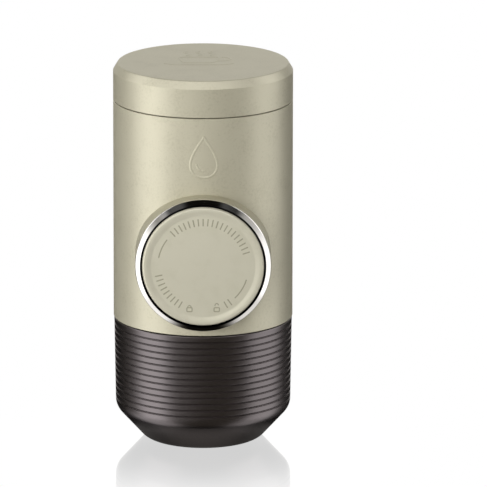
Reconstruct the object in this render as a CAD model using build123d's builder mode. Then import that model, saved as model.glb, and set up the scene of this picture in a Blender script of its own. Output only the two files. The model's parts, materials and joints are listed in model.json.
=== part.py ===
"""Hand-pumped portable espresso maker, standing on its own cup.

The origin is the centre of the foot, on the surface that the maker stands on. +Z is up, and the
push cap looks along -Y. Heights are above the foot. "Reach" is the distance in front of the upright
axis, towards the push cap, so pieces of the pump are turned about the cap's axis.
"""

from build123d import *
import math
import os

os.makedirs("parts", exist_ok=True)

# Clearances
seat_gap = 0.3
nest_gap = 0.1
running_gap = 0.05
pass_gap = 0.4
bezel_gap = 0.75

# Capsule holder and its chamber, from which the maker is sized outwards and upwards
holder_radius = 18.5
holder_height = 27.2
holder_top_wall = 6.1
holder_bottom_wall = 3.3
holder_lead_in = 0.8
chamber_wall = 2.4
chamber_roof = 1.9
chamber_lift = 0.7
chamber_flange_inset = 1.0
channel_width = 2.0
channel_depth = 1.0
gasket_sheet = 0.4
capsule_gasket_thickness = 1.4
capsule_gasket_width = 2.8
chamber_gasket_thickness = 1.0
chamber_gasket_width = 8.5
needle_plate_radius = 13.0
needle_plate_thickness = 0.8
needle_circle = 7.0
needle_radius = 0.9
needle_bore = 0.4
needle_length = 3.6
needle_count = 3

# Outlet head
outlet_wall = 2.4
outlet_floor = 2.0
outlet_overlap = 2.3
outlet_bevel_height = 6.0
outlet_bevel_width = 7.0
plate_thickness = 1.0
plate_hole_radius = 0.5
plate_hole_pitch = 3.0
plate_hole_rings = 4
funnel_radius = 15.0
funnel_depth = 0.9
grip_count = 20
grip_flute_radius = 1.6
grip_flute_depth = 0.7
grip_margin = 3.0
spout_bore = 2.2
spout_wall = 1.1
spout_length = 4.0
spout_flange_width = 1.4
spout_flange_thickness = 0.7

# Collar
collar_flange_thickness = 2.1
collar_wall = 1.6
collar_depth = 5.3
collar_ring_section = 0.6
collar_ring_drop = 2.9

# Cup
cup_wall = 2.2
cup_rim_wall = 1.6
cup_floor = 1.8
cup_draft = 0.5
cup_waist_height = 11.75
cup_bevel_width = 10.3
cup_waist_rounding = 8.0
cup_foot_rounding = 5.4
cup_step = 0.2
groove_count = 13
groove_pitch = 2.21
groove_drop = 2.2
groove_width = 1.1
groove_depth = 0.55
cup_air_gap = 0.8
cup_liner_wall = 1.5
liner_corner_rise = 1.2
liner_foot_height = 1.2
liner_rim_thickness = 1.3
liner_foot_radius = 12.5
liner_foot_wall = 1.5
spout_clearance = 3.1

# Body shell, boss and bezel
seam_gap = 0.5
shell_wall = 1.6
edge_break = 0.3
boss_wall = 1.05
boss_rise = 5.9
bezel_lip = 0.5
bezel_cone_rise = 1.3
bezel_front_edge = 0.15
bezel_spigot_depth = 6.9
bezel_outer_inset = 0.12

# Push cap and its sleeve
cap_radius = 20.85
cap_proud = 0.2
cap_face_wall = 1.6
cap_skirt_wall = 0.5
cap_skirt_depth = 5.4
cap_edge = 0.55
cap_rim = 1.5
cap_dish_slope = 1.0
cap_dish_depth = 0.3
sleeve_wall = 1.6
sleeve_tail = 4.5
guide_wall = 1.6
guide_tail = 4.0
web_thickness = 1.8
lug_count = 3
lug_width_angle = 12.0
lug_height = 0.95
lug_length = 2.0
lug_clearance = 0.6
slot_margin_angle = 3.0

# Pump
pump_stroke = 18.0
lock_turn = 35.0
bore_radius = 7.5
liner_wall = 1.5
head_length = 5.5
head_back_reach = -12.5
head_gap = 0.3
head_overrun = 1.3
dead_length = 1.9
gland_length = 2.5
o_ring_section = 0.9
rod_radius = 3.0
rod_flange_radius = 15.5
rod_flange_thickness = 1.7
clip_radius = 5.5
clip_thickness = 0.6
port_radius = 0.9
block_wall = 3.0
block_end_wall = 2.0
block_flange_thickness = 2.6
base_plate_thickness = 2.5
base_plate_inset = 0.9
spring_wire = 1.5
spring_mean_radius = 14.2
spring_turns = 7

# Valves, all on one upright axis through the pump's ports
tower_wall = 2.5
valve_radius = 4.5
valve_bore = 3.0
inlet_pocket_depth = 9.0
inlet_seat_height = 2.5
inlet_cage_floor = 1.5
inlet_ball_radius = 2.4
inlet_seat_bore = 1.4
cage_hole_radius = 0.6
cage_hole_circle = 1.8
outlet_pocket_depth = 10.1
outlet_seat_height = 2.0
outlet_cage_floor = 1.6
outlet_ball_radius = 2.2
outlet_seat_bore = 1.2
valve_spring_wire = 0.4
valve_spring_radius = 1.9
valve_spring_turns = 2

# Water tank
tank_height = 26.1
tank_rim_drop = 0.95
tank_wall = 1.6
tank_floor = 2.0
tank_mouth_step = 2.0
tank_mouth_height = 7.5
screen_radius = 6.0
screen_thickness = 0.5
screen_hole_radius = 0.35
screen_pitch = 1.5
screen_count = 5
inlet_bore_radius = 1.6

# Lid
lid_height = 12.65
lid_chamfer_width = 1.6
lid_chamfer_height = 2.7
lid_top_wall = 1.8
lid_edge_rounding = 0.5
plug_depth = 7.4
plug_wall = 1.8
plug_floor = 1.5
plug_hub_inset = 6.2
seal_thickness = 1.0
seal_inset = 1.2

# Screws
screw_radius = 1.1
screw_head_radius = 2.1
screw_head_height = 1.5
screw_hole_gap = 0.1
screw_bite = 1.2
rear_screw_angles = (8, 62, 118, 172)
front_screw_angles = (-52, -128)

# Radii, from the capsule holder outwards to the body
chamber_inner_radius = holder_radius + pass_gap
chamber_radius = chamber_inner_radius + chamber_wall
outlet_bore_radius = chamber_radius + seat_gap
outlet_radius = outlet_bore_radius + outlet_wall
collar_inner_radius = outlet_radius + pass_gap
collar_outer_radius = collar_inner_radius + collar_wall
liner_mouth_radius = collar_outer_radius + seat_gap
cup_top_radius = liner_mouth_radius + cup_liner_wall + cup_air_gap + cup_wall
body_radius = cup_top_radius + cup_step
shell_inner = body_radius - shell_wall
chamber_flange_radius = shell_inner - chamber_flange_inset
base_plate_radius = shell_inner - base_plate_inset
capsule_gasket_outer = holder_radius + nest_gap
outlet_shelf_radius = capsule_gasket_outer + 2 * nest_gap
plate_radius = outlet_shelf_radius - pass_gap
tank_radius = shell_inner - seat_gap
tank_inner = tank_radius - tank_wall
tank_mouth_radius = tank_inner - tank_mouth_step
plug_radius = tank_mouth_radius - seat_gap
screw_circle = collar_inner_radius + screw_radius + nest_gap

# Radii about the cap's axis, from the cap outwards to the boss
sleeve_radius = cap_radius - cap_skirt_wall - running_gap
sleeve_inner = sleeve_radius - sleeve_wall
lug_radius = sleeve_radius + lug_height
guide_inner_radius = sleeve_radius + seat_gap
guide_radius = guide_inner_radius + guide_wall
boss_bore = guide_radius + nest_gap
boss_radius = boss_bore + boss_wall
bezel_inner_radius = cap_radius + bezel_gap
liner_radius = bore_radius + liner_wall
barrel_radius = liner_radius + block_wall
tower_radius = valve_radius + tower_wall

# Heights, stacked from the foot up
liner_floor_height = cup_floor + liner_foot_height + cup_liner_wall
spout_tip = liner_floor_height + spout_clearance
outlet_bottom = spout_tip + spout_length
outlet_floor_top = outlet_bottom + outlet_floor
capsule_seat = outlet_floor_top + plate_thickness
capsule_gasket_top = capsule_seat + capsule_gasket_thickness
holder_bottom = capsule_gasket_top + seat_gap
holder_top = holder_bottom + holder_height
gasket_bottom = holder_top + seat_gap
needle_plate_bottom = gasket_bottom + chamber_gasket_thickness
collar_top = needle_plate_bottom + needle_plate_thickness
body_bottom = collar_top - collar_flange_thickness
cup_top = body_bottom - seam_gap
collar_bottom = body_bottom - collar_depth
chamber_bottom = holder_bottom + chamber_lift
outlet_top = collar_bottom + outlet_overlap
roof_top = collar_top + chamber_roof
plate_bottom = roof_top + gasket_sheet
plate_top = plate_bottom + base_plate_thickness
cap_height = roof_top + seat_gap + guide_radius
tower_top = cap_height + guide_radius + 2 * nest_gap
tank_bottom = tower_top + gasket_sheet
tank_rim_top = tank_bottom + tank_height
body_top = tank_rim_top + tank_rim_drop
lid_bottom = body_top + seam_gap
total_height = lid_bottom + lid_height
plug_flange_bottom = tank_rim_top + seal_thickness
plug_flange_top = plug_flange_bottom + plug_floor
inlet_pocket_bottom = tower_top - inlet_pocket_depth
inlet_seat_bottom = tower_top - inlet_seat_height
inlet_ball_height = inlet_pocket_bottom + inlet_cage_floor + inlet_ball_radius + running_gap
outlet_pocket_top = plate_bottom + outlet_pocket_depth
outlet_seat_bottom = outlet_pocket_top - outlet_seat_height
outlet_touch = math.sqrt(outlet_ball_radius**2 - outlet_seat_bore**2)
outlet_ball_height = outlet_seat_bottom - outlet_touch - 2 * running_gap

# Reaches, from the bezel back to the end of the pump's bore
boss_reach = body_radius + boss_rise
bezel_reach = boss_reach + bezel_lip + bezel_cone_rise
cap_reach = bezel_reach + cap_proud
cap_back = cap_reach - cap_face_wall
clip_back = cap_back - 2 * nest_gap - clip_thickness
web_reach = clip_back - nest_gap - web_thickness
rod_flange_front = web_reach - seat_gap
rod_flange_back = rod_flange_front - rod_flange_thickness
guide_front_reach = boss_reach - bezel_spigot_depth - nest_gap
lug_reach = guide_front_reach + lug_clearance + lug_length / 2 - pump_stroke
lug_rear = lug_reach - lug_length / 2
lug_front = lug_reach + lug_length / 2
sleeve_rear_reach = lug_rear - sleeve_tail
guide_rear_reach = sleeve_rear_reach - guide_tail
base_plate_front = block_flange_thickness - guide_rear_reach
head_front_reach = head_back_reach + head_length
bore_front_reach = head_front_reach + pump_stroke + head_overrun
bore_end_reach = head_back_reach - dead_length
port_y = -(bore_end_reach + port_radius + nest_gap)
barrel_back = bore_end_reach - block_end_wall
barrel_front = bore_front_reach + gland_length

# Planes: the cap's plane faces forward, and the two profile planes hold (radius, height) and (radius, reach)
cap_plane = Plane(origin=(0, 0, cap_height), x_dir=(1, 0, 0), z_dir=(0, -1, 0))
cap_profile = Plane(origin=(0, 0, cap_height), x_dir=(1, 0, 0), z_dir=(0, 0, -1))
cap_axis = Axis((0, 0, cap_height), (0, -1, 0))


def turned(points, plane=Plane.XZ, axis=Axis.Z):
    """A solid of revolution from a closed outline of (radius, distance along the axis) points."""
    with BuildPart() as made:
        with BuildSketch(plane):
            with BuildLine():
                Polyline(*points, close=True)
            make_face()
        revolve(axis=axis)
    return made


def disc(plane, radius, start, end, hole=0.0):
    """A round plate or ring between two distances along a plane's normal."""
    with BuildPart() as made:
        with BuildSketch(plane.offset(start)):
            Circle(radius)
            if hole > 0:
                Circle(hole, mode=Mode.SUBTRACT)
        extrude(amount=end - start)
    return made


def o_ring(plane, mean_radius, section, place):
    """A round-section ring whose centre line lies at a distance along a plane's normal."""
    with BuildPart(plane.offset(place)) as made:
        Torus(mean_radius, section)
    return made


def polar(radius, angle):
    """The point at a radius and at an angle in degrees."""
    return radius * math.cos(math.radians(angle)), radius * math.sin(math.radians(angle))


def sector(plane, outer, inner, start, end, from_angle, sweep_angle):
    """A curved block between two radii and two angles, carried along a plane's normal."""
    corner = outer / math.cos(math.radians(sweep_angle / 2))
    with BuildPart() as made:
        with BuildSketch(plane.offset(start)):
            Circle(outer)
            Circle(inner, mode=Mode.SUBTRACT)
            Polygon(
                (0, 0),
                polar(corner, from_angle),
                polar(corner, from_angle + sweep_angle),
                align=None,
                mode=Mode.INTERSECT,
            )
        extrude(amount=end - start)
    return made.part


def screw_spots(angles):
    """The points on the screw circle at the given angles."""
    return [polar(screw_circle, angle) for angle in angles]


def coil_points(mean_radius, pitch, turns, start):
    """Points and tangents along a helix about the z axis, a quarter turn apart."""
    places = []
    rise = pitch / (2 * math.pi)
    for step in range(4 * turns + 1):
        angle = step * math.pi / 2
        point = Vector(
            mean_radius * math.cos(angle), mean_radius * math.sin(angle), start + rise * angle
        )
        tangent = Vector(-mean_radius * math.sin(angle), mean_radius * math.cos(angle), rise)
        places.append((point, tangent.normalized()))
    return places


def coil(mean_radius, wire_radius, turns, start, end):
    """A wound spring: a round wire swept along quarter-turn biarcs that follow a helix."""
    pitch = (end - start - 2 * wire_radius) / turns
    places = coil_points(mean_radius, pitch, turns, start + wire_radius)
    with BuildPart() as made:
        with BuildLine() as path:
            for (first, leave), (last, arrive) in zip(places, places[1:]):
                chord = last - first
                both = leave + arrive
                spare = 4 - both.dot(both)
                along = chord.dot(both)
                reach = (-along + math.sqrt(along**2 + spare * chord.dot(chord))) / spare
                knee = (first + leave * reach + last - arrive * reach) * 0.5
                turning = chord - both * reach
                TangentArc(first, knee, tangent=leave)
                TangentArc(knee, last, tangent=turning.normalized())
        with BuildSketch(Plane(origin=places[0][0], z_dir=places[0][1])):
            Circle(wire_radius)
        sweep(path=path.line)
    return made, pitch - 2 * wire_radius


def finish(made, name):
    """Label a finished piece and write its file."""
    made.part.label = name
    export_step(made.part, f"parts/{name}.step")


# Lid: a cover with a chamfered rim over a screw plug, with a flat ring seal under its flange
lid_inner_top = total_height - lid_top_wall
lid_shoulder = total_height - lid_chamfer_height
with BuildPart() as lid_cover:
    with BuildSketch(Plane.XZ):
        with BuildLine():
            Polyline(
                (0, total_height),
                (body_radius - lid_chamfer_width, total_height),
                (body_radius, lid_shoulder),
                (body_radius, lid_bottom),
                (shell_inner, lid_bottom),
                (shell_inner, lid_shoulder - lid_top_wall / 2),
                (shell_inner - lid_chamfer_width, lid_inner_top),
                (0, lid_inner_top),
                close=True,
            )
        make_face()
    revolve(axis=Axis.Z)
    rim_edges = lid_cover.edges().filter_by(GeomType.CIRCLE)
    fillet(
        [
            edge
            for edge in rim_edges
            if edge.center().Z > lid_shoulder - nest_gap
            and edge.radius > body_radius - lid_chamfer_width - nest_gap
        ],
        radius=lid_edge_rounding,
    )
finish(lid_cover, "lid_cover")

plug_hub = plug_radius - plug_hub_inset
lid_plug = turned(
    [
        (plug_radius - plug_wall, plug_flange_bottom - plug_depth),
        (plug_radius, plug_flange_bottom - plug_depth),
        (plug_radius, plug_flange_bottom),
        (shell_inner - nest_gap, plug_flange_bottom),
        (shell_inner - nest_gap, plug_flange_top),
        (plug_hub, plug_flange_top),
        (plug_hub, lid_inner_top),
        (plug_hub - plug_wall, lid_inner_top),
        (plug_hub - plug_wall, plug_flange_top),
        (0, plug_flange_top),
        (0, plug_flange_bottom),
        (plug_radius - plug_wall, plug_flange_bottom),
    ]
)
finish(lid_plug, "lid_plug")

lid_seal = disc(
    Plane.XY,
    tank_radius - seal_inset,
    tank_rim_top,
    plug_flange_bottom,
    hole=plug_radius + seat_gap,
)
finish(lid_seal, "lid_seal")

# Body shell: an open tube with the round boss that holds the pump's mouth
with BuildPart() as body_shell:
    with BuildSketch(Plane.XY.offset(body_bottom)):
        Circle(body_radius)
    extrude(amount=body_top - body_bottom)
    with BuildSketch(cap_plane):
        Circle(boss_radius)
    extrude(amount=boss_reach)
    with BuildSketch(Plane.XY.offset(body_bottom)):
        Circle(shell_inner)
    extrude(amount=body_top - body_bottom, mode=Mode.SUBTRACT)
    with BuildSketch(cap_plane):
        Circle(boss_bore)
    extrude(amount=boss_reach, mode=Mode.SUBTRACT)
    end_edges = body_shell.edges().filter_by(GeomType.CIRCLE)
    chamfer(
        [
            edge
            for edge in end_edges
            if edge.radius > body_radius - nest_gap
            and (edge.center().Z > body_top - nest_gap or edge.center().Z < body_bottom + nest_gap)
        ],
        length=edge_break / 2,
    )
finish(body_shell, "body_shell")

# Bezel: a ring with a conical face, held in the boss by its spigot
bezel_outer = boss_radius - bezel_outer_inset
bezel_spigot = boss_bore - nest_gap / 2
bezel_ring = turned(
    [
        (bezel_outer, boss_reach),
        (bezel_outer, boss_reach + bezel_lip),
        (bezel_inner_radius + bezel_front_edge, bezel_reach),
        (bezel_inner_radius, bezel_reach - bezel_front_edge),
        (bezel_inner_radius, boss_reach - bezel_spigot_depth),
        (bezel_spigot, boss_reach - bezel_spigot_depth),
        (bezel_spigot, boss_reach),
    ],
    cap_profile,
    cap_axis,
)
finish(bezel_ring, "bezel_ring")

# Water tank with a narrower screw mouth, and an inlet in its floor over the pump's valve tower
tank_floor_top = tank_bottom + tank_floor
mouth_bottom = tank_rim_top - tank_mouth_height
with BuildPart() as water_tank:
    with BuildSketch(Plane.XZ):
        with BuildLine():
            Polyline(
                (0, tank_bottom),
                (tank_radius, tank_bottom),
                (tank_radius, tank_rim_top),
                (tank_mouth_radius, tank_rim_top),
                (tank_mouth_radius, mouth_bottom),
                (tank_inner, mouth_bottom - tank_mouth_step),
                (tank_inner, tank_floor_top),
                (0, tank_floor_top),
                close=True,
            )
        make_face()
    revolve(axis=Axis.Z)
    with BuildSketch(Plane.XY.offset(tank_bottom)):
        with Locations((0, port_y)):
            Circle(inlet_bore_radius)
    extrude(amount=tank_floor, mode=Mode.SUBTRACT)
finish(water_tank, "water_tank")

with BuildPart() as tank_screen:
    with BuildSketch(Plane.XY.offset(tank_floor_top)):
        with Locations((0, port_y)):
            Circle(screen_radius)
            with HexLocations(screen_pitch / math.sqrt(3), screen_count, screen_count):
                Circle(screen_hole_radius, mode=Mode.SUBTRACT)
    extrude(amount=screen_thickness)
finish(tank_screen, "tank_screen")

with BuildPart() as tank_gasket:
    with BuildSketch(Plane.XY.offset(tower_top)):
        with Locations((0, port_y)):
            Circle(tower_radius)
            Circle(inlet_bore_radius, mode=Mode.SUBTRACT)
    extrude(amount=gasket_sheet)
finish(tank_gasket, "tank_gasket")

# Guide tube: the push cap's sleeve slides in it, and its slots turn a corner to lock the cap
slot_angle = lug_width_angle + 2 * slot_margin_angle
guide_slots = []
for lug in range(lug_count):
    slot_start = 90 + lug * 360 / lug_count - slot_angle / 2
    for slot_end, turn in ((guide_front_reach + nest_gap, 0), (lug_front + seat_gap, lock_turn)):
        guide_slots.append(
            sector(
                cap_plane,
                guide_radius + nest_gap,
                guide_inner_radius - nest_gap,
                lug_rear - seat_gap,
                slot_end,
                slot_start,
                slot_angle + turn,
            )
        )

with BuildPart() as guide_tube:
    with BuildSketch(cap_plane.offset(guide_rear_reach)):
        Circle(guide_radius)
        Circle(guide_inner_radius, mode=Mode.SUBTRACT)
    extrude(amount=guide_front_reach - guide_rear_reach)
    add(guide_slots, mode=Mode.SUBTRACT)
finish(guide_tube, "guide_tube")

# Push cap: a thin drawn cap with a low dome in its rim, over a sleeve that slides in the guide tube
cap_dish = cap_radius - cap_rim
with BuildPart() as piston_cap:
    with BuildSketch(cap_profile):
        with BuildLine():
            dome = TangentArc(
                (0, cap_reach),
                (cap_dish - cap_dish_slope, cap_reach - cap_dish_depth),
                tangent=(1, 0),
            )
            Polyline(
                dome @ 1,
                (cap_dish, cap_reach),
                (cap_radius - cap_edge, cap_reach),
                (cap_radius, cap_reach - cap_edge),
                (cap_radius, cap_reach - cap_skirt_depth),
                (cap_radius - cap_skirt_wall, cap_reach - cap_skirt_depth),
                (cap_radius - cap_skirt_wall, cap_back),
                (0, cap_back),
                (0, cap_reach),
            )
        make_face()
    revolve(axis=cap_axis)
finish(piston_cap, "piston_cap")

cap_lugs = [
    sector(
        cap_plane,
        lug_radius,
        sleeve_radius - nest_gap,
        lug_rear,
        lug_front,
        90 + lug * 360 / lug_count - lug_width_angle / 2,
        lug_width_angle,
    )
    for lug in range(lug_count)
]
with BuildPart() as piston_sleeve:
    with BuildSketch(cap_plane.offset(sleeve_rear_reach)):
        Circle(sleeve_radius)
        Circle(sleeve_inner, mode=Mode.SUBTRACT)
    extrude(amount=cap_back - sleeve_rear_reach)
    with BuildSketch(cap_plane.offset(web_reach)):
        Circle(sleeve_radius - nest_gap)
        Circle(rod_radius + running_gap, mode=Mode.SUBTRACT)
    extrude(amount=web_thickness)
    add(cap_lugs)
finish(piston_sleeve, "piston_sleeve")

# Pump piston: rod with a spring flange, ringed head, and the clip that lets the cap turn on the rod
with BuildPart() as piston_rod:
    with BuildSketch(cap_plane.offset(head_front_reach)):
        Circle(rod_radius)
    extrude(amount=clip_back + clip_thickness - head_front_reach)
    with BuildSketch(cap_plane.offset(rod_flange_back)):
        Circle(rod_flange_radius)
    extrude(amount=rod_flange_thickness)
finish(piston_rod, "piston_rod")

cap_clip = disc(
    cap_plane,
    clip_radius,
    clip_back,
    clip_back + clip_thickness,
    hole=rod_radius,
)
finish(cap_clip, "cap_clip")

head_radius = bore_radius - head_gap
ring_middle = head_back_reach + head_length / 2
ring_mean_radius = bore_radius - running_gap - o_ring_section
with BuildPart() as piston_head:
    with BuildSketch(cap_plane.offset(head_back_reach)):
        Circle(head_radius)
    extrude(amount=head_length)
    with BuildSketch(cap_plane.offset(ring_middle - o_ring_section - nest_gap)):
        Circle(head_radius)
        Circle(ring_mean_radius - o_ring_section - nest_gap, mode=Mode.SUBTRACT)
    extrude(amount=2 * (o_ring_section + nest_gap), mode=Mode.SUBTRACT)
finish(piston_head, "piston_head")

piston_o_ring = o_ring(cap_plane, ring_mean_radius, o_ring_section, ring_middle)
finish(piston_o_ring, "piston_o_ring")

return_spring, return_spring_gap = coil(
    spring_mean_radius,
    spring_wire / 2,
    spring_turns,
    guide_rear_reach + nest_gap,
    rod_flange_back - nest_gap,
)
return_spring.part.locate(cap_plane.location)
finish(return_spring, "return_spring")
print("return_spring: least gap between turns", round(return_spring_gap, 3), "mm")

# Pump block: flange behind the guide tube, barrel, valve towers and the plate that is screwed down
with BuildPart() as pump_block:
    with BuildSketch(cap_plane.offset(guide_rear_reach)):
        Circle(guide_radius)
    extrude(amount=-block_flange_thickness)
    with BuildSketch(cap_plane.offset(barrel_back)):
        Circle(barrel_radius)
    extrude(amount=barrel_front - barrel_back)
    with BuildSketch(Plane.XY.offset(plate_bottom)):
        with Locations((0, port_y)):
            Circle(tower_radius)
    extrude(amount=tower_top - plate_bottom)
    with BuildSketch(Plane.XY.offset(plate_bottom)):
        Circle(base_plate_radius)
        with Locations((0, base_plate_front)):
            Rectangle(
                2 * base_plate_radius,
                2 * base_plate_radius,
                align=(Align.CENTER, Align.MIN),
                mode=Mode.INTERSECT,
            )
    extrude(amount=base_plate_thickness)
    with BuildSketch(cap_plane.offset(bore_end_reach)):
        Circle(liner_radius)
    extrude(amount=barrel_front - bore_end_reach, mode=Mode.SUBTRACT)
    with BuildSketch(Plane.XY.offset(inlet_pocket_bottom)):
        with Locations((0, port_y)):
            Circle(valve_radius)
    extrude(amount=inlet_pocket_depth, mode=Mode.SUBTRACT)
    with BuildSketch(Plane.XY.offset(plate_bottom)):
        with Locations((0, port_y)):
            Circle(valve_radius)
    extrude(amount=outlet_pocket_top - plate_bottom, mode=Mode.SUBTRACT)
    with BuildSketch(Plane.XY.offset(outlet_pocket_top)):
        with Locations((0, port_y)):
            Circle(port_radius)
    extrude(amount=inlet_pocket_bottom - outlet_pocket_top, mode=Mode.SUBTRACT)
    with BuildSketch(Plane.XY.offset(plate_bottom)):
        with Locations(screw_spots(rear_screw_angles)):
            Circle(screw_radius + screw_hole_gap)
    extrude(amount=base_plate_thickness, mode=Mode.SUBTRACT)
finish(pump_block, "pump_block")

with BuildPart() as pump_cylinder:
    with BuildSketch(cap_plane.offset(bore_end_reach)):
        Circle(liner_radius)
        Circle(bore_radius, mode=Mode.SUBTRACT)
    extrude(amount=bore_front_reach - bore_end_reach)
    with BuildSketch(Plane.XY.offset(cap_height - liner_radius)):
        with Locations((0, port_y)):
            Circle(port_radius)
    extrude(amount=2 * liner_radius, mode=Mode.SUBTRACT)
finish(pump_cylinder, "pump_cylinder")

rod_gland = disc(
    cap_plane,
    liner_radius,
    bore_front_reach,
    barrel_front,
    hole=rod_radius + running_gap,
)
finish(rod_gland, "rod_gland")

# Inlet valve: a ball that rests on a holed cage floor and is pressed up against the seat above it
valve_plane = Plane(origin=(0, port_y, 0))
with BuildPart() as inlet_valve_cage:
    with BuildSketch(valve_plane.offset(inlet_pocket_bottom)):
        Circle(valve_radius - running_gap)
    extrude(amount=inlet_pocket_depth - inlet_seat_height)
    with BuildSketch(valve_plane.offset(inlet_pocket_bottom + inlet_cage_floor)):
        Circle(valve_bore)
    extrude(amount=inlet_pocket_depth, mode=Mode.SUBTRACT)
    with BuildSketch(valve_plane.offset(inlet_pocket_bottom)):
        with PolarLocations(cage_hole_circle, 4):
            Circle(cage_hole_radius)
    extrude(amount=inlet_cage_floor, mode=Mode.SUBTRACT)
    with BuildSketch(valve_plane.offset(inlet_pocket_bottom)):
        Circle(cage_hole_circle)
    extrude(amount=inlet_cage_floor / 3, mode=Mode.SUBTRACT)
finish(inlet_valve_cage, "inlet_valve_cage")

inlet_valve_seat = disc(
    valve_plane,
    valve_radius - running_gap,
    inlet_seat_bottom,
    tower_top,
    hole=inlet_seat_bore,
)
finish(inlet_valve_seat, "inlet_valve_seat")

with BuildPart(valve_plane.offset(inlet_ball_height)) as inlet_ball:
    Sphere(inlet_ball_radius)
finish(inlet_ball, "inlet_ball")

# Outlet valve: a ball held up against its seat by a light spring in a cage
with BuildPart() as outlet_valve_cage:
    with BuildSketch(valve_plane.offset(roof_top)):
        Circle(valve_radius - running_gap)
    extrude(amount=outlet_seat_bottom - roof_top)
    with BuildSketch(valve_plane.offset(roof_top + outlet_cage_floor)):
        Circle(valve_bore)
    extrude(amount=outlet_seat_bottom - roof_top, mode=Mode.SUBTRACT)
    with BuildSketch(valve_plane.offset(roof_top)):
        Circle(outlet_seat_bore)
    extrude(amount=outlet_cage_floor, mode=Mode.SUBTRACT)
finish(outlet_valve_cage, "outlet_valve_cage")

outlet_valve_seat = disc(
    valve_plane,
    valve_radius - running_gap,
    outlet_seat_bottom,
    outlet_pocket_top,
    hole=outlet_seat_bore,
)
finish(outlet_valve_seat, "outlet_valve_seat")

with BuildPart(valve_plane.offset(outlet_ball_height)) as outlet_ball:
    Sphere(outlet_ball_radius)
finish(outlet_ball, "outlet_ball")

touch_distance = outlet_ball_radius + valve_spring_wire / 2 + running_gap
spring_touch = math.sqrt(touch_distance**2 - valve_spring_radius**2)
outlet_spring, outlet_spring_gap = coil(
    valve_spring_radius,
    valve_spring_wire / 2,
    valve_spring_turns,
    roof_top + outlet_cage_floor + nest_gap,
    outlet_ball_height - spring_touch + valve_spring_wire / 2,
)
outlet_spring.part.locate(valve_plane.location)
finish(outlet_spring, "outlet_spring")
print("outlet_spring: least gap between turns", round(outlet_spring_gap, 3), "mm")

# Collar: closes the body below, and its ringed spigot carries the cup
collar_ring_height = body_bottom - collar_ring_drop
collar_ring_mean = liner_mouth_radius - running_gap - collar_ring_section
with BuildPart() as lower_collar:
    with BuildSketch(Plane.XZ):
        with BuildLine():
            groove_floor = collar_ring_mean - collar_ring_section - nest_gap / 2
            groove_half = collar_ring_section + nest_gap
            Polyline(
                (collar_inner_radius, collar_bottom),
                (collar_outer_radius, collar_bottom),
                (collar_outer_radius, collar_ring_height - groove_half),
                (groove_floor, collar_ring_height - groove_half),
                (groove_floor, collar_ring_height + groove_half),
                (collar_outer_radius, collar_ring_height + groove_half),
                (collar_outer_radius, body_bottom),
                (shell_inner - nest_gap, body_bottom),
                (shell_inner - nest_gap, collar_top),
                (collar_inner_radius, collar_top),
                close=True,
            )
        make_face()
    revolve(axis=Axis.Z)
    with BuildSketch(Plane.XY.offset(collar_top - screw_bite)):
        with Locations(screw_spots(rear_screw_angles + front_screw_angles)):
            Circle(screw_radius + nest_gap / 2)
    extrude(amount=screw_bite, mode=Mode.SUBTRACT)
finish(lower_collar, "lower_collar")

collar_o_ring = o_ring(Plane.XY, collar_ring_mean, collar_ring_section, collar_ring_height)
finish(collar_o_ring, "collar_o_ring")

# Brew chamber: a pressure sleeve under a roof, with the water channel cut in the roof's top
with BuildPart() as brew_chamber:
    with BuildSketch(Plane.XZ):
        with BuildLine():
            Polyline(
                (0, roof_top),
                (chamber_flange_radius, roof_top),
                (chamber_flange_radius, collar_top),
                (chamber_radius, collar_top),
                (chamber_radius, chamber_bottom),
                (chamber_inner_radius, chamber_bottom),
                (chamber_inner_radius, collar_top),
                (0, collar_top),
                close=True,
            )
        make_face()
    revolve(axis=Axis.Z)
    with BuildSketch(Plane.XY.offset(roof_top)):
        with Locations((0, port_y / 2)):
            SlotCenterToCenter(port_y, channel_width, rotation=90)
    extrude(amount=-channel_depth, mode=Mode.SUBTRACT)
    with BuildSketch(Plane.XY.offset(collar_top)):
        Circle(channel_width / 2)
    extrude(amount=chamber_roof, mode=Mode.SUBTRACT)
    with BuildSketch(Plane.XY.offset(collar_top)):
        with Locations(screw_spots(rear_screw_angles + front_screw_angles)):
            Circle(screw_radius + screw_hole_gap)
    extrude(amount=chamber_roof, mode=Mode.SUBTRACT)
finish(brew_chamber, "brew_chamber")

with BuildPart() as manifold_gasket:
    with BuildSketch(Plane.XY.offset(roof_top)):
        Circle(base_plate_radius - seat_gap)
        with Locations((0, base_plate_front)):
            Rectangle(
                2 * base_plate_radius,
                2 * base_plate_radius,
                align=(Align.CENTER, Align.MIN),
                mode=Mode.INTERSECT,
            )
        with Locations((0, port_y)):
            Circle(valve_radius, mode=Mode.SUBTRACT)
        with Locations(screw_spots(rear_screw_angles)):
            Circle(screw_radius + screw_hole_gap, mode=Mode.SUBTRACT)
    extrude(amount=gasket_sheet)
finish(manifold_gasket, "manifold_gasket")

# Needle plate: three hollow points that pierce the capsule, fed from the roof's centre
with BuildPart() as needle_plate:
    with BuildSketch(Plane.XY.offset(needle_plate_bottom)):
        Circle(needle_plate_radius)
    extrude(amount=needle_plate_thickness)
    with BuildSketch(Plane.XY.offset(collar_top)):
        Circle(needle_circle + needle_radius)
    extrude(amount=-needle_plate_thickness / 2, mode=Mode.SUBTRACT)
    with BuildSketch(Plane.XY.offset(needle_plate_bottom)):
        with PolarLocations(needle_circle, needle_count):
            Circle(needle_radius)
    extrude(amount=-needle_length, taper=10)
    with BuildSketch(Plane.XY.offset(needle_plate_bottom - needle_length)):
        with PolarLocations(needle_circle + needle_bore / 2, needle_count):
            Circle(needle_bore / 2)
    extrude(amount=needle_length + needle_plate_thickness, mode=Mode.SUBTRACT)
finish(needle_plate, "needle_plate")

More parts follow.
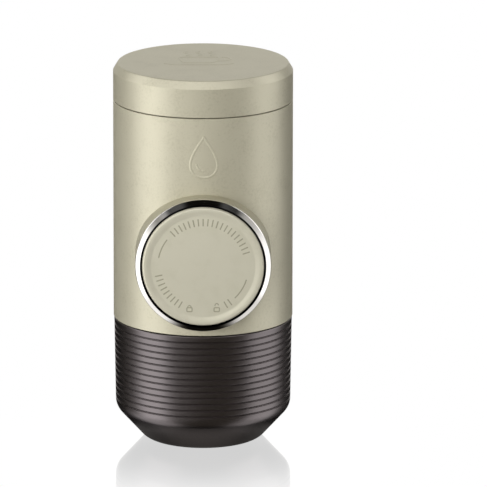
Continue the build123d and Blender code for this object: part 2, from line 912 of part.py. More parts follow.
chamber_gasket = disc(
    Plane.XY,
    holder_radius,
    gasket_bottom,
    needle_plate_bottom,
    hole=holder_radius - chamber_gasket_width,
)
finish(chamber_gasket, "chamber_gasket")

# Capsule holder: a sleeve with a tapered bore that lifts out of the chamber
holder_bottom_bore = holder_radius - holder_bottom_wall
capsule_holder = turned(
    [
        (holder_bottom_bore + holder_lead_in, holder_bottom),
        (holder_radius, holder_bottom),
        (holder_radius, holder_top),
        (holder_radius - holder_top_wall, holder_top),
        (holder_bottom_bore, holder_bottom + holder_lead_in),
    ]
)
finish(capsule_holder, "capsule_holder")

capsule_gasket = disc(
    Plane.XY,
    capsule_gasket_outer,
    capsule_seat,
    capsule_gasket_top,
    hole=capsule_gasket_outer - capsule_gasket_width,
)
finish(capsule_gasket, "capsule_gasket")

# Outlet head: the fluted nut that closes the chamber, with its pierced plate and nozzle
bevel_top = outlet_bottom + outlet_bevel_height
shelf_height = chamber_bottom - seat_gap
spout_hole = spout_bore + spout_wall + 2 * nest_gap
with BuildPart() as outlet_head:
    with BuildSketch(Plane.XZ):
        with BuildLine():
            Polyline(
                (spout_hole, outlet_bottom),
                (outlet_radius - outlet_bevel_width, outlet_bottom),
                (outlet_radius, bevel_top),
                (outlet_radius, outlet_top),
                (outlet_bore_radius, outlet_top),
                (outlet_bore_radius, shelf_height),
                (outlet_shelf_radius, shelf_height),
                (outlet_shelf_radius, outlet_floor_top),
                (funnel_radius, outlet_floor_top),
                (spout_hole + 2 * funnel_depth, outlet_floor_top - funnel_depth),
                (spout_hole, outlet_floor_top - funnel_depth),
                close=True,
            )
        make_face()
    revolve(axis=Axis.Z)
    with BuildSketch(Plane.XY.offset(bevel_top + grip_margin)):
        with PolarLocations(outlet_radius + grip_flute_radius - grip_flute_depth, grip_count):
            Circle(grip_flute_radius)
    extrude(amount=outlet_top - bevel_top - 2 * grip_margin, mode=Mode.SUBTRACT)
finish(outlet_head, "outlet_head")

with BuildPart() as extraction_plate:
    with BuildSketch(Plane.XY.offset(outlet_floor_top)):
        Circle(plate_radius)
        for ring in range(1, plate_hole_rings + 1):
            with PolarLocations(ring * plate_hole_pitch, 6 * ring):
                Circle(plate_hole_radius, mode=Mode.SUBTRACT)
    extrude(amount=plate_thickness)
finish(extraction_plate, "extraction_plate")

spout = turned(
    [
        (spout_bore, spout_tip),
        (spout_bore + spout_wall - edge_break, spout_tip),
        (spout_bore + spout_wall, outlet_bottom - spout_flange_thickness),
        (spout_hole + spout_flange_width, outlet_bottom - spout_flange_thickness),
        (spout_hole + spout_flange_width, outlet_bottom),
        (spout_hole - nest_gap, outlet_bottom),
        (spout_hole - nest_gap, outlet_floor_top - funnel_depth),
        (spout_bore, outlet_floor_top - funnel_depth),
    ]
)
finish(spout, "spout")

# Cup shell: tapered charcoal bowl with fine grooves, standing on a small flat foot
groove_top = cup_top - groove_drop
grooves = [groove_top - row * groove_pitch for row in range(groove_count)]
cup_waist_radius = cup_top_radius - cup_draft
cup_foot_radius = cup_waist_radius - cup_bevel_width
slope = cup_draft / (cup_top - cup_waist_height)
ledge_height = cup_top - liner_rim_thickness
with BuildPart() as cup_shell:
    with BuildSketch(Plane.XZ):
        with BuildLine():
            FilletPolyline(
                (0, 0),
                (cup_foot_radius, 0),
                (cup_waist_radius, cup_waist_height),
                (cup_top_radius, cup_top),
                radius=[cup_foot_rounding, cup_waist_rounding],
            )
            Polyline(
                (cup_top_radius, cup_top),
                (cup_top_radius - cup_rim_wall, cup_top),
                (cup_top_radius - cup_rim_wall, ledge_height),
                (cup_top_radius - cup_wall, ledge_height),
                (cup_waist_radius - cup_wall, cup_waist_height + cup_wall / 2),
                (cup_foot_radius - cup_wall / 2, cup_floor),
                (0, cup_floor),
                (0, 0),
            )
        make_face()
    revolve(axis=Axis.Z)
    with BuildSketch(Plane.XZ):
        for height in grooves:
            wall_radius = cup_waist_radius + slope * (height - cup_waist_height)
            with Locations((wall_radius, height)):
                Trapezoid(
                    groove_width,
                    groove_depth,
                    65,
                    rotation=90,
                    align=(Align.CENTER, Align.MIN),
                )
    revolve(axis=Axis.Z, mode=Mode.SUBTRACT)
finish(cup_shell, "cup_shell")

# Cup liner: the inner wall, with a rim that rests on the shell's ledge and a ring foot on its floor
liner_under = liner_floor_height - cup_liner_wall
liner_rim_radius = cup_top_radius - cup_rim_wall - 2 * nest_gap
liner_rim_top = cup_top + edge_break / 2
liner_floor_radius = cup_foot_radius - (cup_wall + cup_liner_wall) / 2
liner_waist_radius = cup_waist_radius - cup_wall - cup_air_gap - cup_liner_wall
liner_waist_height = cup_waist_height + cup_wall / 2 + liner_corner_rise
cup_liner = turned(
    [
        (0, liner_floor_height),
        (liner_floor_radius, liner_floor_height),
        (liner_waist_radius, liner_waist_height),
        (liner_mouth_radius, collar_bottom - seat_gap),
        (liner_mouth_radius, liner_rim_top),
        (liner_rim_radius, liner_rim_top),
        (liner_rim_radius, ledge_height),
        (liner_mouth_radius + cup_liner_wall, ledge_height),
        (liner_waist_radius + cup_liner_wall, liner_waist_height),
        (liner_floor_radius + cup_liner_wall / 2, liner_under),
        (liner_foot_radius, liner_under),
        (liner_foot_radius, cup_floor),
        (liner_foot_radius - liner_foot_wall, cup_floor),
        (liner_foot_radius - liner_foot_wall, liner_under),
        (0, liner_under),
    ]
)
finish(cup_liner, "cup_liner")

# Screws: four through the pump block's plate, and two short ones in front
with BuildPart() as chassis_screws:
    for angles, head_seat in ((rear_screw_angles, plate_top), (front_screw_angles, roof_top)):
        with BuildSketch(Plane.XY.offset(head_seat)):
            with Locations(screw_spots(angles)):
                Circle(screw_head_radius)
        extrude(amount=screw_head_height)
        with BuildSketch(Plane.XY.offset(head_seat)):
            with Locations(screw_spots(angles)):
                Circle(screw_radius)
        extrude(amount=collar_top - screw_bite + nest_gap - head_seat)
finish(chassis_screws, "chassis_screws")
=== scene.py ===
"""Hand-pumped portable espresso maker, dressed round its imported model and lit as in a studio."""

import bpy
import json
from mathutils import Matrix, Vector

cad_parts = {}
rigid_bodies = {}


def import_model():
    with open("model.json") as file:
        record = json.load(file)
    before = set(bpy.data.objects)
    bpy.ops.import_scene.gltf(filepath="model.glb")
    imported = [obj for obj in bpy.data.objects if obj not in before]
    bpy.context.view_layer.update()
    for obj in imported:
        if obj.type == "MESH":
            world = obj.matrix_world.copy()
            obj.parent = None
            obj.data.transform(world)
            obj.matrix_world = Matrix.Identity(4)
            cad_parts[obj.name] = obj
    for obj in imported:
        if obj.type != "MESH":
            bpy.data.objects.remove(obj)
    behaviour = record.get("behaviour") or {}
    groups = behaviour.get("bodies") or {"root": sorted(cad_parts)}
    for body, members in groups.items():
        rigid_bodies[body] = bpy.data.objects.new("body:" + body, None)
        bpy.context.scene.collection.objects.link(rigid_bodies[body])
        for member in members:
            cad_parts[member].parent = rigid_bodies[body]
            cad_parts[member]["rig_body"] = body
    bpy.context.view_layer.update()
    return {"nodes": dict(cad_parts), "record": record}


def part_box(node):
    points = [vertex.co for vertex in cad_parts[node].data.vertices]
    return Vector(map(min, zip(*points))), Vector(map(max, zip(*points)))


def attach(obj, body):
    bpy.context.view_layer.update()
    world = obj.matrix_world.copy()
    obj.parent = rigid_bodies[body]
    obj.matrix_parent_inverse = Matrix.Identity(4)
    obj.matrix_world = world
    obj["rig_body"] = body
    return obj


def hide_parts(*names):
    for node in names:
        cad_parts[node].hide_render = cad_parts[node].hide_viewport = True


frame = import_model()

import json
import math

import bmesh
import bpy
import numpy as np

MM = 0.001

# Sizes from the frame, in metres. Sizes named further down are in millimetres unless they say metres
lid_low, lid_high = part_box("lid_cover")
body_low, body_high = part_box("body_shell")
bezel_low, bezel_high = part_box("bezel_ring")
cap_low, cap_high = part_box("piston_cap")
_, cup_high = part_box("cup_shell")

CAP_HEIGHT = (cap_low.z + cap_high.z) / 2
CAP_RADIUS = cap_high.x
CAP_FRONT = -cap_low.y
BODY_RADIUS = body_high.x
BOSS_REACH = -body_low.y


# Meshes

# Segments round the large turned pieces, and along a rounded corner: a few for all, and more for
# each millimetre of the rounding
ROUND = 288
CORNER = 4
CORNER_PER_MM = 2
# Where the point outside an arc's end lies, as a multiple of that end's distance from the corner
SUPPORT = 1.08
# A point nearer to the axis than this counts as on it, and points closer than the second are merged,
# both in metres
ON_AXIS = 1e-9
MERGE = 2e-7
# Points round a ridge, the share of its height that it is sunk by, and the share of its full size at
# the points of a tapered end
RIDGE_SECTIONS = 10
RIDGE_SUNK = 0.5
RIDGE_TAPER = np.array([0.0, 0.5, 0.85])
# Edges that turn by more than these angles in degrees stay sharp
SHARP = 32
BODY_SHARP = 25
CUP_SHARP = 40
INNER_SHARP = 28


def rounded(corners):
    """A closed outline of (radius, height, rounding) corners in millimetres, returned in metres.

    Each corner with a rounding becomes an arc that touches its two sides: its centre lies on the
    bisector, and its ends are rounding / tan(half the corner's angle) from the corner. A point just
    outside each end keeps the smooth shading of the arc off the flat beside it.
    """
    count = len(corners)
    outline = []
    for index in range(count):
        radius, height, rounding = corners[index]
        here = np.array([radius, height])
        before = np.array(corners[index - 1][:2]) - here
        after = np.array(corners[(index + 1) % count][:2]) - here
        if rounding <= 0:
            outline.append(here)
            continue
        before = before / np.linalg.norm(before)
        after = after / np.linalg.norm(after)
        half = math.acos(np.clip(before @ after, -1, 1)) / 2
        reach = rounding / math.tan(half)
        bisector = (before + after) / np.linalg.norm(before + after)
        centre = here + bisector * rounding / math.sin(half)
        start = here + before * reach - centre
        end = here + after * reach - centre
        sweep = math.pi - 2 * half
        outline.append(here + before * reach * SUPPORT)
        for step in np.linspace(0, 1, CORNER + 1 + round(CORNER_PER_MM * rounding)):
            turned = start * math.sin((1 - step) * sweep) + end * math.sin(step * sweep)
            outline.append(centre + turned / math.sin(sweep))
        outline.append(here + after * reach * SUPPORT)
    return np.array(outline) * MM


def quads(rows, next_rows, columns):
    """Faces that join each grid row to its next row, closed round the columns."""
    column = np.arange(columns)
    beside = (column + 1) % columns
    low, high = rows[:, None] * columns, next_rows[:, None] * columns
    faces = np.stack([low + column, low + beside, high + beside, high + column], axis=-1)
    return faces.reshape(-1, 4)


def lathe(outline, segments=ROUND, axis="upright"):
    """A surface of revolution: each outline point (r, h) runs round as (r cos a, r sin a, h).

    With the axis "cap" it lies along the push cap's axis instead, and h is measured forwards.
    """
    radius, height = outline[:, 0], outline[:, 1]
    area = np.sum(radius * np.roll(height, -1) - np.roll(radius, -1) * height)
    if area < 0:
        radius, height = radius[::-1], height[::-1]
    angle = np.arange(segments) * 2 * math.pi / segments
    grid = np.empty((len(radius), segments, 3))
    grid[..., 0] = radius[:, None] * np.cos(angle)
    grid[..., 1] = radius[:, None] * np.sin(angle)
    grid[..., 2] = height[:, None]
    row = np.arange(len(radius))
    row = row[(radius > ON_AXIS) | (np.roll(radius, -1) > ON_AXIS)]
    faces = quads(row, (row + 1) % len(radius), segments)
    points = grid.reshape(-1, 3)
    if axis == "cap":
        points = np.stack([points[:, 0], -points[:, 2], points[:, 1] + CAP_HEIGHT], axis=1)
    return points, faces


def ridge(path, width, height, place, closed=False):
    """A low ridge along a flat path in millimetres, laid on a surface by place(across, up, rise).

    Its section is half an ellipse of the given width and height over a shallower half ellipse that
    is sunk in the surface. An open ridge ends in half an ellipse as well.
    """
    path = np.asarray(path, float)
    size = np.ones(len(path))
    if not closed:
        back = np.sqrt(1 - RIDGE_TAPER**2)[:, None] * width / 2
        first = path[0] - path[1]
        last = path[-1] - path[-2]
        first_end = path[0] + first / np.linalg.norm(first) * back
        last_end = path[-1] + last / np.linalg.norm(last) * back
        path = np.vstack([first_end, path, last_end[::-1]])
        size = np.concatenate([RIDGE_TAPER, size, RIDGE_TAPER[::-1]])
    ahead, behind = np.roll(path, -1, axis=0), np.roll(path, 1, axis=0)
    if not closed:
        ahead[-1], behind[0] = path[-1], path[0]
    along = ahead - behind
    along /= np.linalg.norm(along, axis=1, keepdims=True)
    side = np.stack([-along[:, 1], along[:, 0]], axis=1)
    turn = np.arange(RIDGE_SECTIONS) * 2 * math.pi / RIDGE_SECTIONS
    rise = np.where(np.sin(turn) > 0, height, RIDGE_SUNK * height) * np.sin(turn)
    spots = path[:, None] + side[:, None] * (size[:, None] * np.cos(turn) * width / 2)[..., None]
    rises = size[:, None] * rise
    points = place(spots[..., 0], spots[..., 1], rises)
    row = np.arange(len(path) if closed else len(path) - 1)
    return points.reshape(-1, 3), quads(row, (row + 1) % len(path), RIDGE_SECTIONS)


def joined(shapes):
    """Several (points, faces) shapes as one."""
    points, faces, start = [], [], 0
    for shape_points, shape_faces in shapes:
        points.append(shape_points)
        faces.append(shape_faces + start)
        start += len(shape_points)
    return np.concatenate(points), np.concatenate(faces)


def mesh_object(name, points, faces, material):
    """A linked mesh object at the origin, with one material."""
    mesh = bpy.data.meshes.new(name)
    mesh.from_pydata(np.asarray(points).tolist(), [], np.asarray(faces).tolist())
    mesh.materials.append(material)
    made = bpy.data.objects.new(name, mesh)
    bpy.context.scene.collection.objects.link(made)
    return made


def piece(name, shape, body, material, replaces=(), sharp=SHARP):
    """A closed piece from (points, faces) that rides on a body and may stand for CAD nodes."""
    made = mesh_object(name, *shape, material)
    work = bmesh.new()
    work.from_mesh(made.data)
    bmesh.ops.remove_doubles(work, verts=work.verts, dist=MERGE)
    bmesh.ops.recalc_face_normals(work, faces=work.faces)
    work.to_mesh(made.data)
    work.free()
    made.data.shade_smooth()
    made.data.set_sharp_from_angle(angle=math.radians(sharp))
    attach(made, body)
    if replaces:
        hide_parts(*replaces)


# Colours and materials


def colour(code):
    """Linear RGBA from an sRGB hex code."""
    channels = np.array([int(code[i : i + 2], 16) for i in (1, 3, 5)]) / 255
    linear = np.where(channels <= 0.04045, channels / 12.92, ((channels + 0.055) / 1.055) ** 2.4)
    return (*linear, 1.0)


def add(tree, kind, inputs=(), **settings):
    """Adds a shader node with its settings and its inputs, each a fixed value or a socket to link."""
    node = tree.nodes.new("ShaderNode" + kind)
    for name, value in settings.items():
        setattr(node, name, value)
    for socket, value in dict(inputs).items():
        if isinstance(value, bpy.types.NodeSocket):
            tree.links.new(value, node.inputs[socket])
        else:
            node.inputs[socket].default_value = value
    return node


# Real blasting, moulding grit and metal flake are about 0.05 to 0.1 mm across, finer than the picture
# shows. The sizes of their patterns below, in millimetres, are coarser, so that the skins still show
BLASTED_SPECKLE = 0.8
BLASTED_CLOUD = 8.0
CAP_SPECKLE = 4.0
MOULDED_GRIT = 0.4
NYLON_GRIT = 0.7
SILICONE_GRIT = 0.6
FLAKE = 0.35
CHROME_RIPPLE = 2.5
# The turning lines' phase grows by one radian over this distance, so that they lie about 3 mm apart,
# coarser than real ones as well. The wave texture multiplies its own scale by 20
LINE_RADIAN = 0.5
WAVE_FACTOR = 20
# How much the soft clouds on blasted aluminium count beside its speckle, and how far the colour's
# share is lowered to make up for them
CLOUD_SHARE = 0.4
CLOUD_DROP = 0.15
# Depths of the bumps, in millimetres
BLASTED_DEPTH = 0.009
MOULDED_DEPTH = 0.006
NYLON_DEPTH = 0.012
FLAKE_DEPTH = 0.003
SMOOTH_DEPTH = 0.002
# How far the patterns take the roughness below and above its level
METAL_SWING = (0.05, 0.05)
MOULDED_SWING = (0.04, 0.06)
FLAKE_SWING = (0.03, 0.04)
# The middle of a 0 to 1 pattern's range, outside which it counts as all dark or all light
SHARPENED = {"From Min": 0.3, "From Max": 0.7}


def surface(name, values):
    """A material with a Principled shader, its tree and the piece's own coordinates."""
    material = bpy.data.materials.new(name)
    material.use_nodes = True
    tree = material.node_tree
    for socket, value in values.items():
        tree.nodes["Principled BSDF"].inputs[socket].default_value = value
    return material, tree, add(tree, "TexCoord").outputs["Object"]


def lay_skin(tree, share, pattern, tones, roughness, swing, depth):
    """Gives a material's shader its colour, roughness and bump from two 0 to 1 patterns.

    The share takes the colour from the first tone to the second. The pattern, sharpened about its
    middle, swings the roughness about its level, and it raises the bump.
    """
    dark, light = (colour(tone) for tone in tones)
    mixed = add(tree, "Mix", {0: share, 6: dark, 7: light}, data_type="RGBA")
    below, above = swing
    ends = {**SHARPENED, "To Min": roughness - below, "To Max": roughness + above}
    varied = add(tree, "MapRange", {"Value": pattern, **ends})
    raised = add(tree, "Bump", {"Height": pattern, "Strength": 1.0, "Distance": depth * MM})
    shader = tree.nodes["Principled BSDF"]
    tree.links.new(mixed.outputs[2], shader.inputs["Base Color"])
    tree.links.new(varied.outputs["Result"], shader.inputs["Roughness"])
    tree.links.new(raised.outputs["Normal"], shader.inputs["Normal"])


def blasted_aluminium(
    name, tones, roughness, metallic=0.35, size=BLASTED_SPECKLE, depth=BLASTED_DEPTH
):
    """Anodised aluminium over a bead-blasted surface: satin, with a fine sparkle and soft clouds."""
    values = {"Metallic": metallic, "Roughness": roughness, "Specular IOR Level": 0.15}
    material, tree, place = surface(name, values)
    fine = {"Vector": place, "Scale": 1 / (size * MM), "Detail": 3.0, "Roughness": 0.7}
    coarse = {"Vector": place, "Scale": 1 / (BLASTED_CLOUD * MM), "Detail": 1.0}
    speckle = add(tree, "TexNoise", fine).outputs["Fac"]
    cloud = add(tree, "TexNoise", coarse).outputs["Fac"]
    both = add(tree, "Math", {0: cloud, 1: CLOUD_SHARE, 2: speckle}, operation="MULTIPLY_ADD")
    ends = {**SHARPENED, "To Min": -CLOUD_DROP, "To Max": 1 - CLOUD_DROP}
    share = add(tree, "MapRange", {"Value": both.outputs[0], **ends}).outputs["Result"]
    lay_skin(tree, share, speckle, tones, roughness, METAL_SWING, depth)
    return material


def moulded(name, tones, roughness, grit=MOULDED_GRIT, depth=MOULDED_DEPTH):
    """Moulded plastic: a fine spark-eroded skin with close tones."""
    material, tree, place = surface(name, {"Roughness": roughness, "IOR": 1.5})
    fine = {"Vector": place, "Scale": 1 / (grit * MM), "Detail": 2.0}
    skin = add(tree, "TexNoise", fine).outputs["Fac"]
    share = add(tree, "MapRange", {"Value": skin, **SHARPENED}).outputs["Result"]
    lay_skin(tree, share, skin, tones, roughness, MOULDED_SWING, depth)
    return material


def steel(name, tones, roughness, axis):
    """Stainless steel with fine lines from turning or rolling, in rings about an axis."""
    material, tree, place = surface(name, {"Metallic": 1.0, "Roughness": roughness})
    wave = {
        "Vector": place,
        "Scale": 1 / (LINE_RADIAN * MM) / WAVE_FACTOR,
        "Distortion": 1.5,
        "Detail": 3.0,
        "Detail Scale": 4.0,
    }
    lines = add(tree, "TexWave", wave, wave_type="RINGS", rings_direction=axis).outputs["Fac"]
    lay_skin(tree, lines, lines, tones, roughness, METAL_SWING, SMOOTH_DEPTH)
    return material


def flake_lacquer(name, tones, roughness):
    """Lacquer full of fine metal flake: dark where nothing shines on it, with soft bright streaks."""
    material, tree, place = surface(name, {"Metallic": 1.0, "Roughness": roughness})
    fine = {"Vector": place, "Scale": 1 / (FLAKE * MM), "Detail": 2.0, "Roughness": 0.6}
    flake = add(tree, "TexNoise", fine).outputs["Fac"]
    share = add(tree, "MapRange", {"Value": flake, **SHARPENED}).outputs["Result"]
    lay_skin(tree, share, flake, tones, roughness, FLAKE_SWING, FLAKE_DEPTH)
    return material


def plated(name, tone, roughness):
    """Chrome plating on a machined ring: near mirror, with a very faint turning ripple."""
    values = {"Metallic": 1.0, "Roughness": roughness, "Base Color": colour(tone)}
    material, tree, place = surface(name, values)
    soft = {"Vector": place, "Scale": 1 / (CHROME_RIPPLE * MM), "Detail": 1.0}
    ripple = add(tree, "TexNoise", soft).outputs["Fac"]
    raised = add(tree, "Bump", {"Height": ripple, "Strength": 1.0, "Distance": SMOOTH_DEPTH * MM})
    tree.links.new(raised.outputs["Normal"], tree.nodes["Principled BSDF"].inputs["Normal"])
    return material


# Body: warm champagne anodising, satin
champagne = blasted_aluminium(
    "champagne_anodised_aluminium", ("#B5B099", "#C7C2AC"), roughness=0.42
)
# Lid: the same anodising with more of the metal's own shine
lid_champagne = blasted_aluminium(
    "lid_anodised_aluminium", ("#B5B099", "#C7C2AC"), roughness=0.44, metallic=0.44
)
# The cap's face is smooth and a shade lighter
cap_champagne = blasted_aluminium(
    "cap_anodised_aluminium",
    ("#CECAB5", "#D3CFBB"),
    roughness=0.34,
    metallic=0.3,
    size=CAP_SPECKLE,
    depth=SMOOTH_DEPTH,
)
# Its etched marks are darker and matt
etched = blasted_aluminium("etched_aluminium", ("#9D9983", "#A8A48E"), roughness=0.6)
# Charcoal lacquer on the cup: near black in front, with grey streaks where a softbox shows
charcoal = flake_lacquer("charcoal_flake_lacquer", ("#645E5D", "#6E6867"), roughness=0.315)
# Moulded polypropylene: black and matt, with a fine eroded skin
black_plastic = moulded("black_moulded_polypropylene", ("#141415", "#1C1C1E"), roughness=0.5)
# Moulded smoke copolyester: grey, with a soft gloss
tank_plastic = moulded(
    "smoke_copolyester", ("#3A3B3D", "#424446"), roughness=0.2, depth=SMOOTH_DEPTH
)
# Glass-filled nylon: dark grey and slightly fibrous
chamber_plastic = moulded(
    "glass_filled_nylon", ("#232426", "#2E2F31"), roughness=0.55, grit=NYLON_GRIT, depth=NYLON_DEPTH
)
# Silicone: pale grey and matt
silicone = moulded("grey_silicone", ("#85878A", "#909295"), roughness=0.6, grit=SILICONE_GRIT)
# Acetal: off-white and waxy
acetal = moulded("white_acetal", ("#D8D7D0", "#E2E1DB"), roughness=0.35, depth=SMOOTH_DEPTH)
# Rolled sheet, turned bars and tubes, and drawn spring wire of stainless steel
stainless = steel("stainless_sheet", ("#B9B9B6", "#C6C6C3"), roughness=0.34, axis="Z")
turned_steel = steel("turned_stainless_steel", ("#B4B4B2", "#C8C8C5"), roughness=0.2, axis="Y")
spring_steel = steel("spring_wire", ("#9C9C9A", "#B2B2AF"), roughness=0.34, axis="Y")
# Chrome plating on the ring round the cap: a near mirror
chrome = plated("chrome_plating", "#DAD7D0", roughness=0.07)


# The lid and the shells

# The part of each seam's gap that the rolled edges of the shells fill
SEAM_EDGE = 0.08
# How far the lid's top stays below the CAD box, which leaves room for the mark on it
MARK_RISE = 0.12
SHELL_WALL = 1.6
LID_CHAMFER_WIDTH = 1.6
LID_CHAMFER_HEIGHT = 2.7
LID_TOP_WALL = 1.8
LID_TOP_ROUNDING = 0.6
LID_SIDE_ROUNDING = 0.4
LID_RIM_ROUNDING = 0.12


def lid_outline():
    """The lid's chamfered cover, hollow below."""
    radius = BODY_RADIUS / MM
    top = lid_high.z / MM - MARK_RISE
    bottom = lid_low.z / MM - SEAM_EDGE
    inner = radius - SHELL_WALL
    return rounded(
        [
            (0, top, 0),
            (radius - LID_CHAMFER_WIDTH, top, LID_TOP_ROUNDING),
            (radius, top - LID_CHAMFER_HEIGHT, LID_SIDE_ROUNDING),
            (radius, bottom, LID_RIM_ROUNDING),
            (inner, bottom, LID_RIM_ROUNDING),
            (inner, top - LID_CHAMFER_HEIGHT - LID_TOP_WALL / 2, 0),
            (inner - LID_CHAMFER_WIDTH, top - LID_TOP_WALL, 0),
            (0, top - LID_TOP_WALL, 0),
        ]
    )


# Body: a tube pierced by the boss, with its sizes in metres
BOSS_MARGIN = 0.12 * MM
BOSS_RADIUS = bezel_high.x + BOSS_MARGIN
BOSS_WALL = 1.05 * MM
BOSS_EDGE = 0.5 * MM
BODY_EDGE = 0.15 * MM
INNER_RADIUS = BODY_RADIUS - SHELL_WALL * MM
BORE_RADIUS = BOSS_RADIUS - BOSS_WALL
BODY_LOW = body_low.z - SEAM_EDGE * MM
BODY_HIGH = body_high.z + SEAM_EDGE * MM
# The wall's grid: columns and rows of the patch that holds the hole, rings between its edge and the
# hole, and how they crowd at the hole; columns round the back, and rows above the patch
PATCH_COLUMNS = 120
PATCH_ROWS = 60
PATCH_RINGS = 14
PATCH_CROWDING = 1.4
BACK_COLUMNS = 204
CROWN_ROWS = 30
# Half the patch's width, in degrees round the body
PATCH_TURN = 66
# Rows along the boss and its bore as shares of their length, and the angles of the boss's edge
BOSS_ROWS = (0, 0.2, 0.4, 0.6, 0.8, 0.97, 1)
BORE_ROWS = (0, 0.25, 0.5, 0.75, 1)
BOSS_EDGE_TURNS = np.radians(np.linspace(15, 90, 6))


def wall(radius, arc, height):
    """Points of a tube wall from the arc along it, measured from -Y towards +X, and the height."""
    turn = arc / radius
    return np.stack([radius * np.sin(turn), -radius * np.cos(turn), height], axis=-1).reshape(-1, 3)


def wall_sheet(radius, arcs, heights):
    """An open grid on a tube wall."""
    arc, height = np.meshgrid(arcs, heights)
    rows, columns = arc.shape
    row, column = np.meshgrid(np.arange(rows - 1), np.arange(columns - 1), indexing="ij")
    corner = (row * columns + column).ravel()
    faces = np.stack([corner, corner + 1, corner + columns + 1, corner + columns], axis=1)
    return wall(radius, arc, height), faces


def pierced_tube(radius, hole):
    """A tube wall with a round hole that faces -Y, as one grid of rings from the hole outwards.

    Ring points run from the hole's edge, where the height is CAP_HEIGHT + hole sin a and the arc
    along the wall is radius asin(hole cos a / radius), straight out to a rectangle on the wall.
    Returned with the arcs of the wall's columns and the angles of the points round the hole.
    """
    low, high = BODY_LOW + BODY_EDGE, BODY_HIGH - BODY_EDGE
    patch_high = 2 * CAP_HEIGHT - low
    reach = radius * math.radians(PATCH_TURN)
    side = np.linspace(-1, 1, PATCH_COLUMNS + 1)[:-1]
    rise = np.linspace(0, 1, PATCH_ROWS + 1)[:-1]
    arc = np.concatenate([side, np.ones(PATCH_ROWS), -side, -np.ones(PATCH_ROWS)]) * reach
    height = np.concatenate(
        [
            np.full(PATCH_COLUMNS, low),
            low + rise * (patch_high - low),
            np.full(PATCH_COLUMNS, patch_high),
            patch_high - rise * (patch_high - low),
        ]
    )
    angle = np.arctan2(height - CAP_HEIGHT, radius * np.sin(arc / radius))
    hole_arc = radius * np.arcsin(hole * np.cos(angle) / radius)
    hole_height = CAP_HEIGHT + hole * np.sin(angle)
    step = (np.arange(PATCH_RINGS + 1) / PATCH_RINGS)[:, None] ** PATCH_CROWDING
    patch_arc = hole_arc + (arc - hole_arc) * step
    patch = wall(radius, patch_arc, hole_height + (height - hole_height) * step)
    patch_faces = quads(np.arange(PATCH_RINGS), np.arange(1, PATCH_RINGS + 1), len(arc))
    around = np.linspace(reach, 2 * math.pi * radius - reach, BACK_COLUMNS + 1)
    back = wall_sheet(radius, around, np.append(rise, 1) * (patch_high - low) + low)
    columns = np.concatenate([side * reach, around])
    crown = wall_sheet(radius, columns, np.linspace(patch_high, high, CROWN_ROWS + 1))
    return joined([(patch, patch_faces), back, crown]), columns[:-1], angle


def bands(rings):
    """Strips of faces that join closed rings of points, each to the next."""
    strips = []
    for first, second in zip(rings, rings[1:]):
        faces = quads(np.array([0]), np.array([1]), len(first))
        strips.append((np.concatenate([first, second]), faces))
    return strips


def boss_ring(angle, radius, reach):
    """Points round the boss at a radius and a reach from the body's axis."""
    side, rise = radius * np.cos(angle), radius * np.sin(angle)
    return np.stack([side, np.broadcast_to(-reach, side.shape), CAP_HEIGHT + rise], axis=-1)


def body_shape():
    """The body's two walls, the edges that join them at its ends, and the boss with its bore."""
    outer_wall, columns, boss_angle = pierced_tube(BODY_RADIUS, BOSS_RADIUS)
    inner_wall, _, bore_angle = pierced_tube(INNER_RADIUS, BORE_RADIUS)
    shapes = [outer_wall, inner_wall]
    for end, into in ((BODY_LOW, BODY_EDGE), (BODY_HIGH, -BODY_EDGE)):
        rims = (
            (end + into, INNER_RADIUS),
            (end, INNER_RADIUS + BODY_EDGE),
            (end, BODY_RADIUS - BODY_EDGE),
            (end + into, BODY_RADIUS),
        )
        shapes += bands(
            [
                wall(radius, columns / BODY_RADIUS * radius, np.full(len(columns), height))
                for height, radius in rims
            ]
        )
    boss_root = np.sqrt(BODY_RADIUS**2 - (BOSS_RADIUS * np.cos(boss_angle)) ** 2)
    bore_root = np.sqrt(INNER_RADIUS**2 - (BORE_RADIUS * np.cos(bore_angle)) ** 2)
    rings = []
    for step in BOSS_ROWS:
        reach = boss_root + (BOSS_REACH - BOSS_EDGE - boss_root) * step
        rings.append(boss_ring(boss_angle, BOSS_RADIUS, reach))
    for turn in BOSS_EDGE_TURNS:
        inset, drop = BOSS_EDGE * (1 - math.cos(turn)), BOSS_EDGE * (1 - math.sin(turn))
        rings.append(boss_ring(boss_angle, BOSS_RADIUS - inset, BOSS_REACH - drop))
    rings.append(boss_ring(bore_angle, BORE_RADIUS + BODY_EDGE, BOSS_REACH))
    for step in BORE_ROWS:
        reach = BOSS_REACH - BODY_EDGE + (bore_root - BOSS_REACH + BODY_EDGE) * step
        rings.append(boss_ring(bore_angle, BORE_RADIUS, reach))
    return joined(shapes + bands(rings))


# Bezel: a cone that faces outwards, with a rounded lip behind it and a straight bore
BEZEL_LIP = 0.3
BEZEL_LIP_ROUNDING = 0.6
BEZEL_GAP = 0.75
SPIGOT_GAP = 0.05


def bezel_outline():
    """The bright ring round the push cap, which sits in the boss on a spigot."""
    outer = bezel_high.x / MM
    inner = CAP_RADIUS / MM + BEZEL_GAP
    back = -bezel_high.y / MM
    reach = BOSS_REACH / MM
    spigot = BORE_RADIUS / MM - SPIGOT_GAP
    return rounded(
        [
            (outer, reach, 0),
            (outer, reach + BEZEL_LIP, BEZEL_LIP_ROUNDING),
            (inner, -bezel_low.y / MM, 0),
            (inner, back, 0),
            (spigot, back, 0),
            (spigot, reach, 0),
        ]
    )


